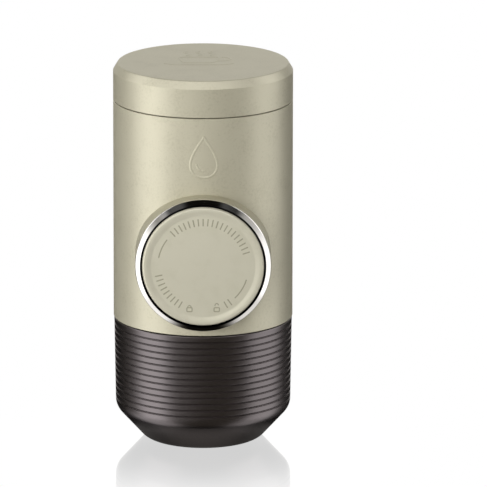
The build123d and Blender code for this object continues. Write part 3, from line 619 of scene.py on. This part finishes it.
# Push cap: a raised rim round a shallow dish with a domed floor
CAP_RIM = 1.5
CAP_SLOPE = 1.5
CAP_SLOPE_ROUNDING = 3.0
CAP_SAG = 0.3
CAP_EDGE = 0.55
CAP_EDGE_ROUNDING = 0.5
CAP_FACE_WALL = 1.6
CAP_RETURN = 0.95
CAP_RETURN_WALL = 0.5
CAP_RETURN_ROUNDING = 0.1
CAP_OUTER = CAP_RADIUS / MM
CAP_REACH = CAP_FRONT / MM
CAP_DISH = CAP_OUTER - CAP_RIM - CAP_SLOPE
# Points from the middle of the dish's floor outwards, and where they stop before its corner
CAP_FLOOR_POINTS = 30
CAP_FLOOR_STOP = 0.5


def cap_face(distance):
    """The dish's reach in millimetres at a distance from its middle: front - sag (r / dish)^2."""
    return CAP_REACH - CAP_SAG * (distance / CAP_DISH) ** 2


def cap_outline():
    """The cap's metal face, which turns back round its edge for a short way."""
    inner = CAP_OUTER - CAP_RETURN_WALL
    floor = np.linspace(0, CAP_DISH - CAP_FLOOR_STOP, CAP_FLOOR_POINTS)
    return rounded(
        [(step, cap_face(step), 0) for step in floor]
        + [
            (CAP_DISH, cap_face(CAP_DISH), CAP_SLOPE_ROUNDING),
            (CAP_OUTER - CAP_RIM, CAP_REACH, CAP_SLOPE_ROUNDING),
            (CAP_OUTER - CAP_EDGE, CAP_REACH, CAP_EDGE_ROUNDING),
            (CAP_OUTER, CAP_REACH - CAP_EDGE, CAP_EDGE_ROUNDING),
            (CAP_OUTER, CAP_REACH - CAP_RETURN, CAP_RETURN_ROUNDING),
            (inner, CAP_REACH - CAP_RETURN, 0),
            (inner, CAP_REACH - CAP_FACE_WALL, 0),
            (0, CAP_REACH - CAP_FACE_WALL, 0),
        ]
    )


# A black skirt behind the cap's metal face: painted shade, a dark sleeve that stands for the shade
# deep in the gap between the cap and the bezel
SKIRT_LENGTH = 5.4
SKIRT_STEP = 0.12
SKIRT_WALL = 0.36
SKIRT_GAP = 0.02
SKIRT_FRONT_ROUNDING = 0.05
SKIRT_BACK_ROUNDING = 0.1


def shade_skirt_outline():
    """A thin tube just inside the cap's outer radius, behind its metal face, which darkens the gap
    round the cap as painted shade.
    """
    outer = CAP_OUTER - SKIRT_STEP
    front = CAP_REACH - CAP_RETURN - SKIRT_GAP
    back = CAP_REACH - SKIRT_LENGTH
    return rounded(
        [
            (outer, front, SKIRT_FRONT_ROUNDING),
            (outer, back, SKIRT_BACK_ROUNDING),
            (outer - SKIRT_WALL, back, SKIRT_BACK_ROUNDING),
            (outer - SKIRT_WALL, front, SKIRT_FRONT_ROUNDING),
        ]
    )


# Cup: a tapered bowl with grooves
CUP_WALL = 2.2
CUP_RIM_WALL = 1.6
CUP_FLOOR = 1.8
CUP_DRAFT = 0.5
CUP_WAIST = 11.4
CUP_WAIST_ROUNDING = 6.0
CUP_BEVEL_WIDTH = 10.3
CUP_FOOT_ROUNDING = 5.4
CUP_RIM_ROUNDING = 0.45
CUP_RIM_INNER_ROUNDING = 0.1
CUP_LEDGE = 1.3
GROOVES = 13
GROOVE_PITCH = 2.21
GROOVE_DROP = 2.2
GROOVE_WIDTH = 0.8
GROOVE_DEPTH = 0.32
# Where a groove's slope ends and its foot begins, as shares of its width, and the points on each
GROOVE_SLOPE = 0.75
GROOVE_FOOT = 0.9
SLOPE_POINTS = 10
FOOT_POINTS = 6


def smooth_step(share):
    """Goes from 0 to 1 as s^2 (3 - 2 s), level at both ends."""
    return share**2 * (3 - 2 * share)


def cup_outline():
    """The cup's shell, whose grooves deepen downwards by a long smooth step and end in a steep one."""
    top_radius = cup_high.x / MM
    cup_top = cup_high.z / MM + SEAM_EDGE
    waist_radius = top_radius - CUP_DRAFT
    foot_radius = waist_radius - CUP_BEVEL_WIDTH
    outline = rounded(
        [
            (0, 0, 0),
            (foot_radius, 0, CUP_FOOT_ROUNDING),
            (waist_radius, CUP_WAIST, CUP_WAIST_ROUNDING),
            (top_radius, cup_top, CUP_RIM_ROUNDING),
            (top_radius - CUP_RIM_WALL, cup_top, CUP_RIM_INNER_ROUNDING),
            (top_radius - CUP_RIM_WALL, cup_top - CUP_LEDGE, 0),
            (top_radius - CUP_WALL, cup_top - CUP_LEDGE, 0),
            (waist_radius - CUP_WALL, CUP_WAIST + CUP_WALL / 2, 0),
            (foot_radius - CUP_WALL / 2, CUP_FLOOR, 0),
            (0, CUP_FLOOR, 0),
        ]
    )
    rim_point = int(np.argmax(outline[:, 1]))
    outside, inside = outline[:rim_point] / MM, outline[rim_point:]
    grooves = cup_high.z / MM - GROOVE_DROP - GROOVE_PITCH * np.arange(GROOVES)
    slope = np.linspace(0, GROOVE_SLOPE, SLOPE_POINTS)
    foot = np.linspace(GROOVE_FOOT, 1, FOOT_POINTS)
    across = (0.5 - np.concatenate([slope, foot])) * GROOVE_WIDTH
    heights = np.sort(np.concatenate([outside[1:, 1], (grooves[:, None] + across).ravel()]))
    radii = np.interp(heights, outside[1:, 1], outside[1:, 0])
    for groove in grooves:
        way = 0.5 - (heights - groove) / GROOVE_WIDTH
        inwards = np.clip(way / GROOVE_SLOPE, 0, 1)
        outwards = np.clip((way - GROOVE_FOOT) / (1 - GROOVE_FOOT), 0, 1)
        radii -= GROOVE_DEPTH * (smooth_step(inwards) - smooth_step(outwards))
    wall_outline = np.stack([radii, heights], axis=1)
    return np.concatenate([outside[:1] * MM, wall_outline * MM, inside])


piece(
    "lid_cover_turned",
    lathe(lid_outline()),
    "lid",
    lid_champagne,
    ["lid_cover"],
)
piece(
    "body_tube_drawn",
    body_shape(),
    "machine",
    champagne,
    ["body_shell"],
    BODY_SHARP,
)
piece(
    "bezel_ring_machined",
    lathe(bezel_outline(), axis="cap"),
    "machine",
    chrome,
    ["bezel_ring"],
)
piece(
    "push_cap_drawn",
    lathe(cap_outline(), axis="cap"),
    "push_cap",
    cap_champagne,
    ["piston_cap"],
)
# The black skirt is painted shade: it stands for the shade deep in the gap round the cap
piece(
    "cap_shade_skirt",
    lathe(shade_skirt_outline(), axis="cap"),
    "push_cap",
    black_plastic,
)
piece(
    "cup_shell_turned",
    lathe(cup_outline()),
    "cup",
    charcoal,
    ["cup_shell"],
    CUP_SHARP,
)


# Marks in low relief, with smooth-edged ridges. A ridge's pair of numbers is its width and height,
# and a pair of angles is in degrees

# Longest step between a path's points, and the points on each of its rounded corners
PATH_STEP = 0.5
PATH_CORNER = 7
ARC_POINTS = 24


def on_body(across, up, rise):
    """Places for a ridge that stands out of the body's wall."""
    radius = BODY_RADIUS / MM
    turn = across / radius
    reach = radius + rise
    return np.stack([reach * np.sin(turn), -reach * np.cos(turn), up], axis=-1) * MM


def on_lid(across, up, rise):
    """Places for a ridge on the lid's flat top."""
    return np.stack([across, up, lid_high.z / MM - MARK_RISE + rise], axis=-1) * MM


def on_cap(across, up, rise):
    """Places for a ridge on the domed floor of the cap's dish."""
    reach = cap_face(np.hypot(across, up)) + rise
    return np.stack([across, -reach, CAP_HEIGHT / MM + up], axis=-1) * MM


def arc_path(middle, radius, start, end, squeeze=1.0):
    """A round arc between two angles in degrees, with its height squeezed."""
    turn = np.radians(np.linspace(start, end, ARC_POINTS))
    across = middle[0] + radius * np.cos(turn)
    return np.stack([across, middle[1] + squeeze * radius * np.sin(turn)], axis=1)


def smooth_path(corners, rounding, closed=False):
    """A path through corners whose turns are parabolic arcs, in short steps."""
    path = []
    count = len(corners)
    for index, corner in enumerate(corners):
        here = np.array(corner, float)
        if not closed and index in (0, count - 1):
            path.append(here)
            continue
        before = np.array(corners[index - 1]) - here
        after = np.array(corners[(index + 1) % count]) - here
        start = here + before / np.linalg.norm(before) * rounding
        end = here + after / np.linalg.norm(after) * rounding
        for step in np.linspace(0, 1, PATH_CORNER):
            path.append((1 - step) ** 2 * start + 2 * step * (1 - step) * here + step**2 * end)
    path = np.array(path)
    ends = np.vstack([path, path[:1]]) if closed else path
    lengths = np.linalg.norm(np.diff(ends, axis=0), axis=1)
    fine = []
    for start, end, length in zip(ends[:-1], ends[1:], lengths):
        parts = max(1, math.ceil(length / PATH_STEP))
        fine += [start + (end - start) * part / parts for part in range(parts)]
    if not closed:
        fine.append(ends[-1])
    return np.array(fine)


# A water drop on the body
DROP_WIDTH = 9.3
DROP_HEIGHT = 14.4
DROP_MIDDLE = (0.3, 106.5)
DROP_POINTS = 90
DROP_POINTEDNESS = 1.3
DROP_RIDGE = (0.9, 0.14)
GLINT_DROP = 2.4
GLINT_RADIUS = 2.5
GLINT_TURN = (185, 265)
GLINT_RIDGE = (0.8, 0.12)


def water_drop():
    """A drop's outline, its half width sin t (sin t/2)^1.3 and its height cos t, with a glint."""
    across, up = DROP_MIDDLE
    turn = (np.arange(DROP_POINTS) + 0.5) / DROP_POINTS * 2 * math.pi
    lobe = np.sin(turn) * np.abs(np.sin(turn / 2)) ** DROP_POINTEDNESS
    side = across + DROP_WIDTH / 2 * lobe / lobe.max()
    drop = np.stack([side, up + DROP_HEIGHT / 2 * np.cos(turn)], axis=1)
    glint = arc_path((across, up - GLINT_DROP), GLINT_RADIUS, *GLINT_TURN)
    return joined([ridge(drop, *DROP_RIDGE, on_body, True), ridge(glint, *GLINT_RIDGE, on_body)])


# A steaming cup on a saucer, on the lid. Its points are measured from the mark's middle
LID_MARK = (-0.5, 3.4)
LID_RIDGE = (0.8, 0.11)
BOWL = ((-8.2, 4.2), (-6.4, -4.6), (4.6, -4.6), (6.4, 4.2))
BOWL_ROUNDING = 2.6
SAUCER = ((-12.6, -5.8), (-9.6, -7.8), (7.8, -7.8), (10.8, -5.8))
SAUCER_ROUNDING = 1.4
HANDLE = (6.6, 1.0)
HANDLE_RADIUS = 3.4
HANDLE_TURN = (80, -105)
HANDLE_SQUEEZE = 0.85
STEAM_OFFSETS = (-5.1, -0.9, 3.3)
STEAM_SWAY = 0.9
STEAM_LOW = 6.4
STEAM_LENGTH = 6.4
STEAM_POINTS = 26


def steaming_cup():
    """A bowl with a handle over a saucer, under three wisps that sway as a sine."""
    x, y = LID_MARK
    bowl = smooth_path([(x + across, y + up) for across, up in BOWL], BOWL_ROUNDING, True)
    saucer = smooth_path([(x + across, y + up) for across, up in SAUCER], SAUCER_ROUNDING)
    middle = (x + HANDLE[0], y + HANDLE[1])
    handle = arc_path(middle, HANDLE_RADIUS, *HANDLE_TURN, HANDLE_SQUEEZE)
    paths = [bowl, handle, saucer]
    rise = np.linspace(0, 1, STEAM_POINTS)
    sway = STEAM_SWAY * np.sin(rise * 2 * math.pi)
    for offset in STEAM_OFFSETS:
        wisp = [x + offset + sway, y + STEAM_LOW + STEAM_LENGTH * rise]
        paths.append(np.stack(wisp, axis=1))
    return joined([ridge(path, *LID_RIDGE, on_lid, path is bowl) for path in paths])


# Graduations round the cap's face, with a closed and an open padlock at the bottom. Angles run from
# the right upwards. Each padlock has its place, how far its shackle is raised and where that starts
ETCH = 0.03
TICK_RADIUS = 15.5
TICK_LENGTH = 2.2
TICK_WIDTH = 0.45
TICK_STEP = 6.0
TICK_RUNS = ((18, 132), (-168, -120), (-60, -52))
LINE_RUNS = ((143, 168), (-45, -18))
PADLOCKS = ((-107.5, 0.0, 0), (-72.5, 0.7, 20))
PADLOCK_HALF_WIDTH = 0.9
PADLOCK_LOW = 1.1
PADLOCK_HIGH = 0.3
PADLOCK_ROUNDING = 0.3
PADLOCK_WIDTH = 0.4
SHACKLE_RADIUS = 0.6
SHACKLE_SQUEEZE = 1.3
SHACKLE_WIDTH = 0.35


def padlock(angle, lift, start):
    """A padlock's case and its shackle, raised by lift and open up to the angle start."""
    x = TICK_RADIUS * math.cos(math.radians(angle))
    y = TICK_RADIUS * math.sin(math.radians(angle))
    left, right = x - PADLOCK_HALF_WIDTH, x + PADLOCK_HALF_WIDTH
    low, high = y - PADLOCK_LOW, y + PADLOCK_HIGH
    corners = [(left, low), (right, low), (right, high), (left, high)]
    case = smooth_path(corners, PADLOCK_ROUNDING, True)
    shackle = arc_path((x, high + lift), SHACKLE_RADIUS, start, 180, SHACKLE_SQUEEZE)
    return [
        ridge(case, PADLOCK_WIDTH, ETCH, on_cap, True),
        ridge(shackle, SHACKLE_WIDTH, ETCH, on_cap),
    ]


def graduations():
    """Short radial lines in three runs, two arcs between them, and the padlocks."""
    paths = []
    for start, end in TICK_RUNS:
        for angle in np.radians(np.arange(start, end + 1, TICK_STEP)):
            ends = np.array([[TICK_RADIUS - TICK_LENGTH / 2], [TICK_RADIUS + TICK_LENGTH / 2]])
            paths.append(ends * np.array([math.cos(angle), math.sin(angle)]))
    paths += [arc_path((0, 0), TICK_RADIUS, start, end) for start, end in LINE_RUNS]
    ridges = [ridge(path, TICK_WIDTH, ETCH, on_cap) for path in paths]
    for lock in PADLOCKS:
        ridges += padlock(*lock)
    return joined(ridges)


piece("water_drop_relief", water_drop(), "machine", champagne)
piece("steaming_cup_relief", steaming_cup(), "lid", lid_champagne)
piece("cap_graduations", graduations(), "push_cap", etched)


# Inner pieces keep their CAD shape; a merged copy lets their curves shade smoothly

FINISHES = {
    "black_plastic": black_plastic,
    "tank_plastic": tank_plastic,
    "chamber_plastic": chamber_plastic,
    "silicone": silicone,
    "steel": stainless,
    "piston_plastic": acetal,
}
TURNED = ("pump_cylinder", "piston_rod")
SPRINGS = ("return_spring", "outlet_spring")


def smoothed(node, material):
    """A copy of a CAD node's mesh with its doubles merged, shaded smooth below an angle."""
    source = frame["nodes"][node]
    points = np.empty(len(source.data.vertices) * 3)
    source.data.vertices.foreach_get("co", points)
    faces = np.empty(len(source.data.polygons) * 3, dtype=np.int64)
    source.data.polygons.foreach_get("vertices", faces)
    shape = (points.reshape(-1, 3), faces.reshape(-1, 3))
    piece(node + "_smooth", shape, source["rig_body"], material, [node], INNER_SHARP)


for part in frame["record"]["subparts"]:
    node, slot = part["node"], part["material_slot"]
    if node in SPRINGS:
        for held in frame["nodes"][node].material_slots:
            held.material = spring_steel
    elif slot in FINISHES:
        smoothed(node, turned_steel if node in TURNED else FINISHES[slot])


# Studio: pale floor, light tent with two side softboxes, soft lamps


def stage_object(name, points, faces, material):
    """A part of the studio, which isn't part of the maker."""
    made = mesh_object(name, points, faces, material)
    return made


def only_reflected(made):
    """Leaves an object in reflections alone."""
    made.visible_camera = False
    made.visible_diffuse = False
    made.visible_shadow = False
    made.visible_transmission = False
    made.visible_volume_scatter = False


def plain_material(name):
    """A material with an empty tree, and its output's surface socket."""
    material = bpy.data.materials.new(name)
    material.use_nodes = True
    tree = material.node_tree
    tree.nodes.clear()
    return material, tree, tree.nodes.new("ShaderNodeOutputMaterial").inputs["Surface"]


# The floor shows a weak reflection round a point in front of the foot, which fades between two
# distances. It lies just below the foot. Sizes are in metres
FLOOR_HALF = 6.0
FLOOR_DROP = 0.0001
FLOOR_MIDDLE = (0, -0.022, 0)
FLOOR_FADE = (0.012, 0.085)
FLOOR_GLOSS = 0.37
FLOOR_ROUGHNESS = 0.03
FLOOR_MATT = 0.8


def make_floor():
    """White acrylic: the camera sees white and the reflection, and light from it is matt."""
    material, tree, output = plain_material("white_acrylic_floor")
    place = add(tree, "TexCoord").outputs["Object"]
    away = add(tree, "VectorMath", {0: place, 1: FLOOR_MIDDLE}, operation="DISTANCE")
    near, far = FLOOR_FADE
    ends = {"From Min": near, "From Max": far, "To Min": FLOOR_GLOSS, "To Max": 0.0}
    fading = {"Value": away.outputs["Value"], **ends}
    share = add(tree, "MapRange", fading, interpolation_type="SMOOTHSTEP").outputs["Result"]
    white = add(tree, "Emission", {"Color": (1, 1, 1, 1), "Strength": 1.0}).outputs[0]
    gloss = add(tree, "BsdfGlossy", {"Color": (1, 1, 1, 1), "Roughness": FLOOR_ROUGHNESS})
    seen = add(tree, "MixShader", {0: share, 1: white, 2: gloss.outputs[0]}).outputs[0]
    matt = add(tree, "BsdfDiffuse", {"Color": (FLOOR_MATT, FLOOR_MATT, FLOOR_MATT, 1)}).outputs[0]
    direct = add(tree, "LightPath").outputs["Is Camera Ray"]
    shown = add(tree, "MixShader", {0: direct, 1: matt, 2: seen})
    tree.links.new(shown.outputs[0], output)
    corners = ((-1, -1), (1, -1), (1, 1), (-1, 1))
    square = [(x * FLOOR_HALF, y * FLOOR_HALF, -FLOOR_DROP) for x, y in corners]
    stage_object("floor", square, [(0, 1, 2, 3)], material).visible_glossy = False


# A pale disc under the foot, brighter towards the front. Sizes are in metres
GLOW_RADIUS = 0.027
GLOW_DEPTH = 0.001
GLOW_SEGMENTS = 64
GLOW_FADE = (-0.0265, -0.0165)
GLOW_FRONT_LEVEL = 0.33
GLOW_LEVEL = 0.12
GLOW_TINT = (1, 0.97, 0.93, 1)


def make_floor_glow():
    """The light that the floor throws up on the cup's bevel, which mirrors it."""
    material, tree, output = plain_material("floor_glow")
    place = add(tree, "TexCoord").outputs["Object"]
    backwards = add(tree, "SeparateXYZ", {0: place}).outputs["Y"]
    front, back = GLOW_FADE
    ends = {"From Min": front, "From Max": back, "To Min": GLOW_FRONT_LEVEL, "To Max": GLOW_LEVEL}
    level = add(tree, "MapRange", {"Value": backwards, **ends}).outputs["Result"]
    glow = add(tree, "Emission", {"Color": GLOW_TINT, "Strength": level})
    tree.links.new(glow.outputs[0], output)
    turn = np.arange(GLOW_SEGMENTS) * 2 * math.pi / GLOW_SEGMENTS
    across, along = GLOW_RADIUS * np.cos(turn), GLOW_RADIUS * np.sin(turn)
    points = np.stack([across, along, np.full(GLOW_SEGMENTS, -GLOW_DEPTH)], axis=1)
    only_reflected(stage_object("floor_glow", points, [list(range(GLOW_SEGMENTS))], material))


# The tent is seen only in reflections: bright boxes at both sides, white behind, dim in front. Its
# radius is in metres. Angles are in degrees, to the right of the front and upwards. Each box has the
# two angles between which its left side fades in and the two between which its right side fades
# out, the same for its lower and upper sides, and its level
TENT_RADIUS = 1.6
TENT_ROWS = 33
TENT_SEGMENTS = 64
WHITE = (1.0, 1.0, 1.0)
WARM = (1.0, 0.91, 0.74)
COOL = (1.0, 1.01, 1.06)
DIM_LEVEL = 0.12
DARK_LEVEL = 0.04
BOXES = (
    # At the left, weakly beside that towards the front, and at the right
    ((-102, -83, -62, -38), (-46, -22, -5, 46), 2.2),
    ((-75, -55, -30, 5), (-46, -22, 0, 52), 0.2),
    ((56, 73, 104, 124), (-46, -22, -3, 50), 1.5),
    # Low at the left and the right
    ((-128, -112, -64, -40), (-76, -58, -36, -20), 1.2),
    ((48, 72, 112, 128), (-76, -58, -36, -20), 0.9),
    # High at the left, the right and in front
    ((-120, -96, -88, -74), (10, 24, 50, 65), 2.7),
    ((77, 90, 108, 136), (10, 24, 50, 65), 2.0),
    ((-72, -58, 40, 78), (22, 36, 60, 66), 2.4),
    # Weakly in front, a little to the left
    ((-60, -30, -10, 30), (-18, 14, 22, 34), 0.5),
)
BEHIND_SIDE = (135, 158)
BEHIND_LOW = (-2, 8)
BEHIND_HIGH = (76, 90)
BEHIND_LEVEL = 0.95
# In front, the tent's roof is dark, and the roof's edge comes lower towards the sides
ROOF_EDGE = (50, 60)
ROOF_SIDE = (78, 96)
ROOF_WIDEST = 75
ROOF_DROP = 0.14
# Behind, it is dark below the horizon, and straight below it is dark all round
GROUND_EDGE = (-8, -2)
GROUND_SIDE = (116, 132)
BELOW_EDGE = (-80, -62)


def make_tent():
    """A sphere whose light depends on the direction from the middle of the floor."""
    material, tree, output = plain_material("light_tent_cloth")

    def edge(angle, start, end, low=0.0, high=1.0):
        """A smooth step from low to high as an angle goes from start to end, in degrees."""
        ends = {"From Min": math.radians(start), "From Max": math.radians(end)}
        step = {"Value": angle, **ends, "To Min": low, "To Max": high}
        return add(tree, "MapRange", step, interpolation_type="SMOOTHSTEP").outputs["Result"]

    def product(first, *others):
        """All of the values multiplied together."""
        for other in others:
            inputs = {0: first, 1: other}
            first = add(tree, "Math", inputs, operation="MULTIPLY").outputs[0]
        return first

    place = add(tree, "TexCoord").outputs["Object"]
    direction = add(tree, "VectorMath", {0: place}, operation="NORMALIZE").outputs[0]
    parts = add(tree, "SeparateXYZ", {0: direction}).outputs
    forwards = product(parts["Y"], -1.0)
    side = add(tree, "Math", {0: parts["X"], 1: forwards}, operation="ARCTAN2").outputs[0]
    up = add(tree, "Math", {0: parts["Z"]}, operation="ARCSINE").outputs[0]
    turned_away = add(tree, "Math", {0: side}, operation="ABSOLUTE").outputs[0]

    lights = []
    for sides, heights, level in BOXES:
        across = product(edge(side, *sides[:2]), edge(side, *sides[2:], 1.0, 0.0))
        upright = product(edge(up, *heights[:2]), edge(up, *heights[2:], level, 0.0))
        lights.append((COOL, product(across, upright)))
    above = product(edge(up, *BEHIND_LOW, 0.0, BEHIND_LEVEL), edge(up, *BEHIND_HIGH, 1.0, 0.0))
    lights.append((WHITE, product(edge(turned_away, *BEHIND_SIDE), above)))
    light = add(tree, "VectorMath", {0: WARM, "Scale": DIM_LEVEL}, operation="SCALE").outputs[0]
    for tint, level in lights:
        more = add(tree, "VectorMath", {0: tint, "Scale": level}, operation="SCALE").outputs[0]
        light = add(tree, "VectorMath", {0: light, 1: more}, operation="ADD").outputs[0]

    widest = math.radians(ROOF_WIDEST)
    bounded = add(tree, "Math", {0: turned_away, 1: widest}, operation="MINIMUM").outputs[0]
    lowering = {0: product(bounded, bounded), 1: ROOF_DROP, 2: up}
    lifted = add(tree, "Math", lowering, operation="MULTIPLY_ADD").outputs[0]
    roof = product(edge(lifted, *ROOF_EDGE), edge(turned_away, *ROOF_SIDE, 1.0, 0.0))
    under_roof = add(tree, "Math", {0: 1.0, 1: roof}, operation="SUBTRACT").outputs[0]
    lit_ground = {0: edge(up, *GROUND_EDGE), 1: edge(turned_away, *GROUND_SIDE, 1.0, 0.0)}
    over_ground = add(tree, "Math", lit_ground, operation="MAXIMUM").outputs[0]
    open_share = product(under_roof, over_ground, edge(up, *BELOW_EDGE))
    ends = {"To Min": DARK_LEVEL, "To Max": 1.0}
    level = add(tree, "MapRange", {"Value": open_share, **ends}).outputs["Result"]
    shining = add(tree, "VectorMath", {0: light, "Scale": level}, operation="SCALE").outputs[0]
    glow = add(tree, "Emission", {"Color": shining, "Strength": 1.0})
    tree.links.new(glow.outputs[0], output)

    angle = np.linspace(-math.pi / 2, math.pi / 2, TENT_ROWS)
    outline = TENT_RADIUS * np.stack([np.cos(angle), np.sin(angle)], axis=1)
    only_reflected(stage_object("light_tent", *lathe(outline, TENT_SEGMENTS), material))


# The plain level of light from all round, where neither the camera, metal nor glass sees the world
AMBIENT = 0.22


def make_world():
    """White where the camera, metal or glass sees it, and a plain level of light elsewhere."""
    world = bpy.data.worlds.new("studio")
    bpy.context.scene.world = world
    world.use_nodes = True
    tree = world.node_tree
    tree.nodes.clear()
    path = add(tree, "LightPath").outputs
    shown = path["Is Camera Ray"]
    for ray in ("Is Glossy Ray", "Is Transmission Ray"):
        shown = add(tree, "Math", {0: shown, 1: path[ray]}, operation="MAXIMUM").outputs[0]
    ends = {"To Min": AMBIENT, "To Max": 1.0}
    level = add(tree, "MapRange", {"Value": shown, **ends}).outputs["Result"]
    backdrop = add(tree, "Background", {"Color": (1, 1, 1, 1), "Strength": level})
    output = tree.nodes.new("ShaderNodeOutputWorld")
    tree.links.new(backdrop.outputs[0], output.inputs["Surface"])


def lamp(name, side, height, distance, size, irradiance):
    """A soft square lamp that isn't seen in reflections.

    Its side angle and height are in degrees, and its distance and size in metres. A white matt
    surface that faces it at the maker shines with the irradiance given; a lamp of power P gives
    P / (pi distance)^2 there.
    """
    data = bpy.data.lights.new(name, "AREA")
    data.energy = irradiance * (math.pi * distance) ** 2
    data.size = size
    made = bpy.data.objects.new(name, data)
    bpy.context.scene.collection.objects.link(made)
    yaw, tilt = math.radians(side), math.radians(height)
    level = math.cos(tilt)
    out = np.array([level * math.sin(yaw), -level * math.cos(yaw), math.sin(tilt)])
    made.location = out * distance + np.array([0, 0, lid_high.z / 2])
    made.rotation_euler = (math.pi / 2 - tilt, 0, yaw)
    made.visible_glossy = False


# Camera, at the photograph's angle. Its lens and sensor are in millimetres, its distance, clip and
# aim in metres, and its shift is a share of the picture's width
CAMERA_DISTANCE = 2.738
CAMERA_TILT = math.radians(14.17)
CAMERA_LENS = 584.5
CAMERA_SENSOR = 36.0
CAMERA_SHIFT = 0.0830
CAMERA_CLIP = 20.0
AIM_HEIGHT = 0.0684


def make_camera():
    """The scene's camera, which looks at the maker's axis from the front and a little above."""
    data = bpy.data.cameras.new("camera")
    data.sensor_width = CAMERA_SENSOR
    data.lens = CAMERA_LENS
    data.shift_x = CAMERA_SHIFT
    data.clip_end = CAMERA_CLIP
    camera = bpy.data.objects.new("camera", data)
    bpy.context.scene.collection.objects.link(camera)
    back = -CAMERA_DISTANCE * math.cos(CAMERA_TILT)
    camera.location = (0, back, AIM_HEIGHT + CAMERA_DISTANCE * math.sin(CAMERA_TILT))
    camera.rotation_euler = (math.pi / 2 - CAMERA_TILT, 0, 0)
    bpy.context.scene.camera = camera


make_floor()
make_floor_glow()
make_tent()
make_world()
lamp("front_lamp", side=-17, height=8, distance=1.3, size=0.7, irradiance=0.74)
lamp("left_lamp", side=-62, height=10, distance=1.1, size=0.6, irradiance=0.24)
lamp("right_lamp", side=108, height=6, distance=1.2, size=0.6, irradiance=0.16)
lamp("back_lamp", side=165, height=5, distance=1.2, size=0.6, irradiance=0.45)
make_camera()
bpy.context.scene.view_settings.view_transform = "Standard"
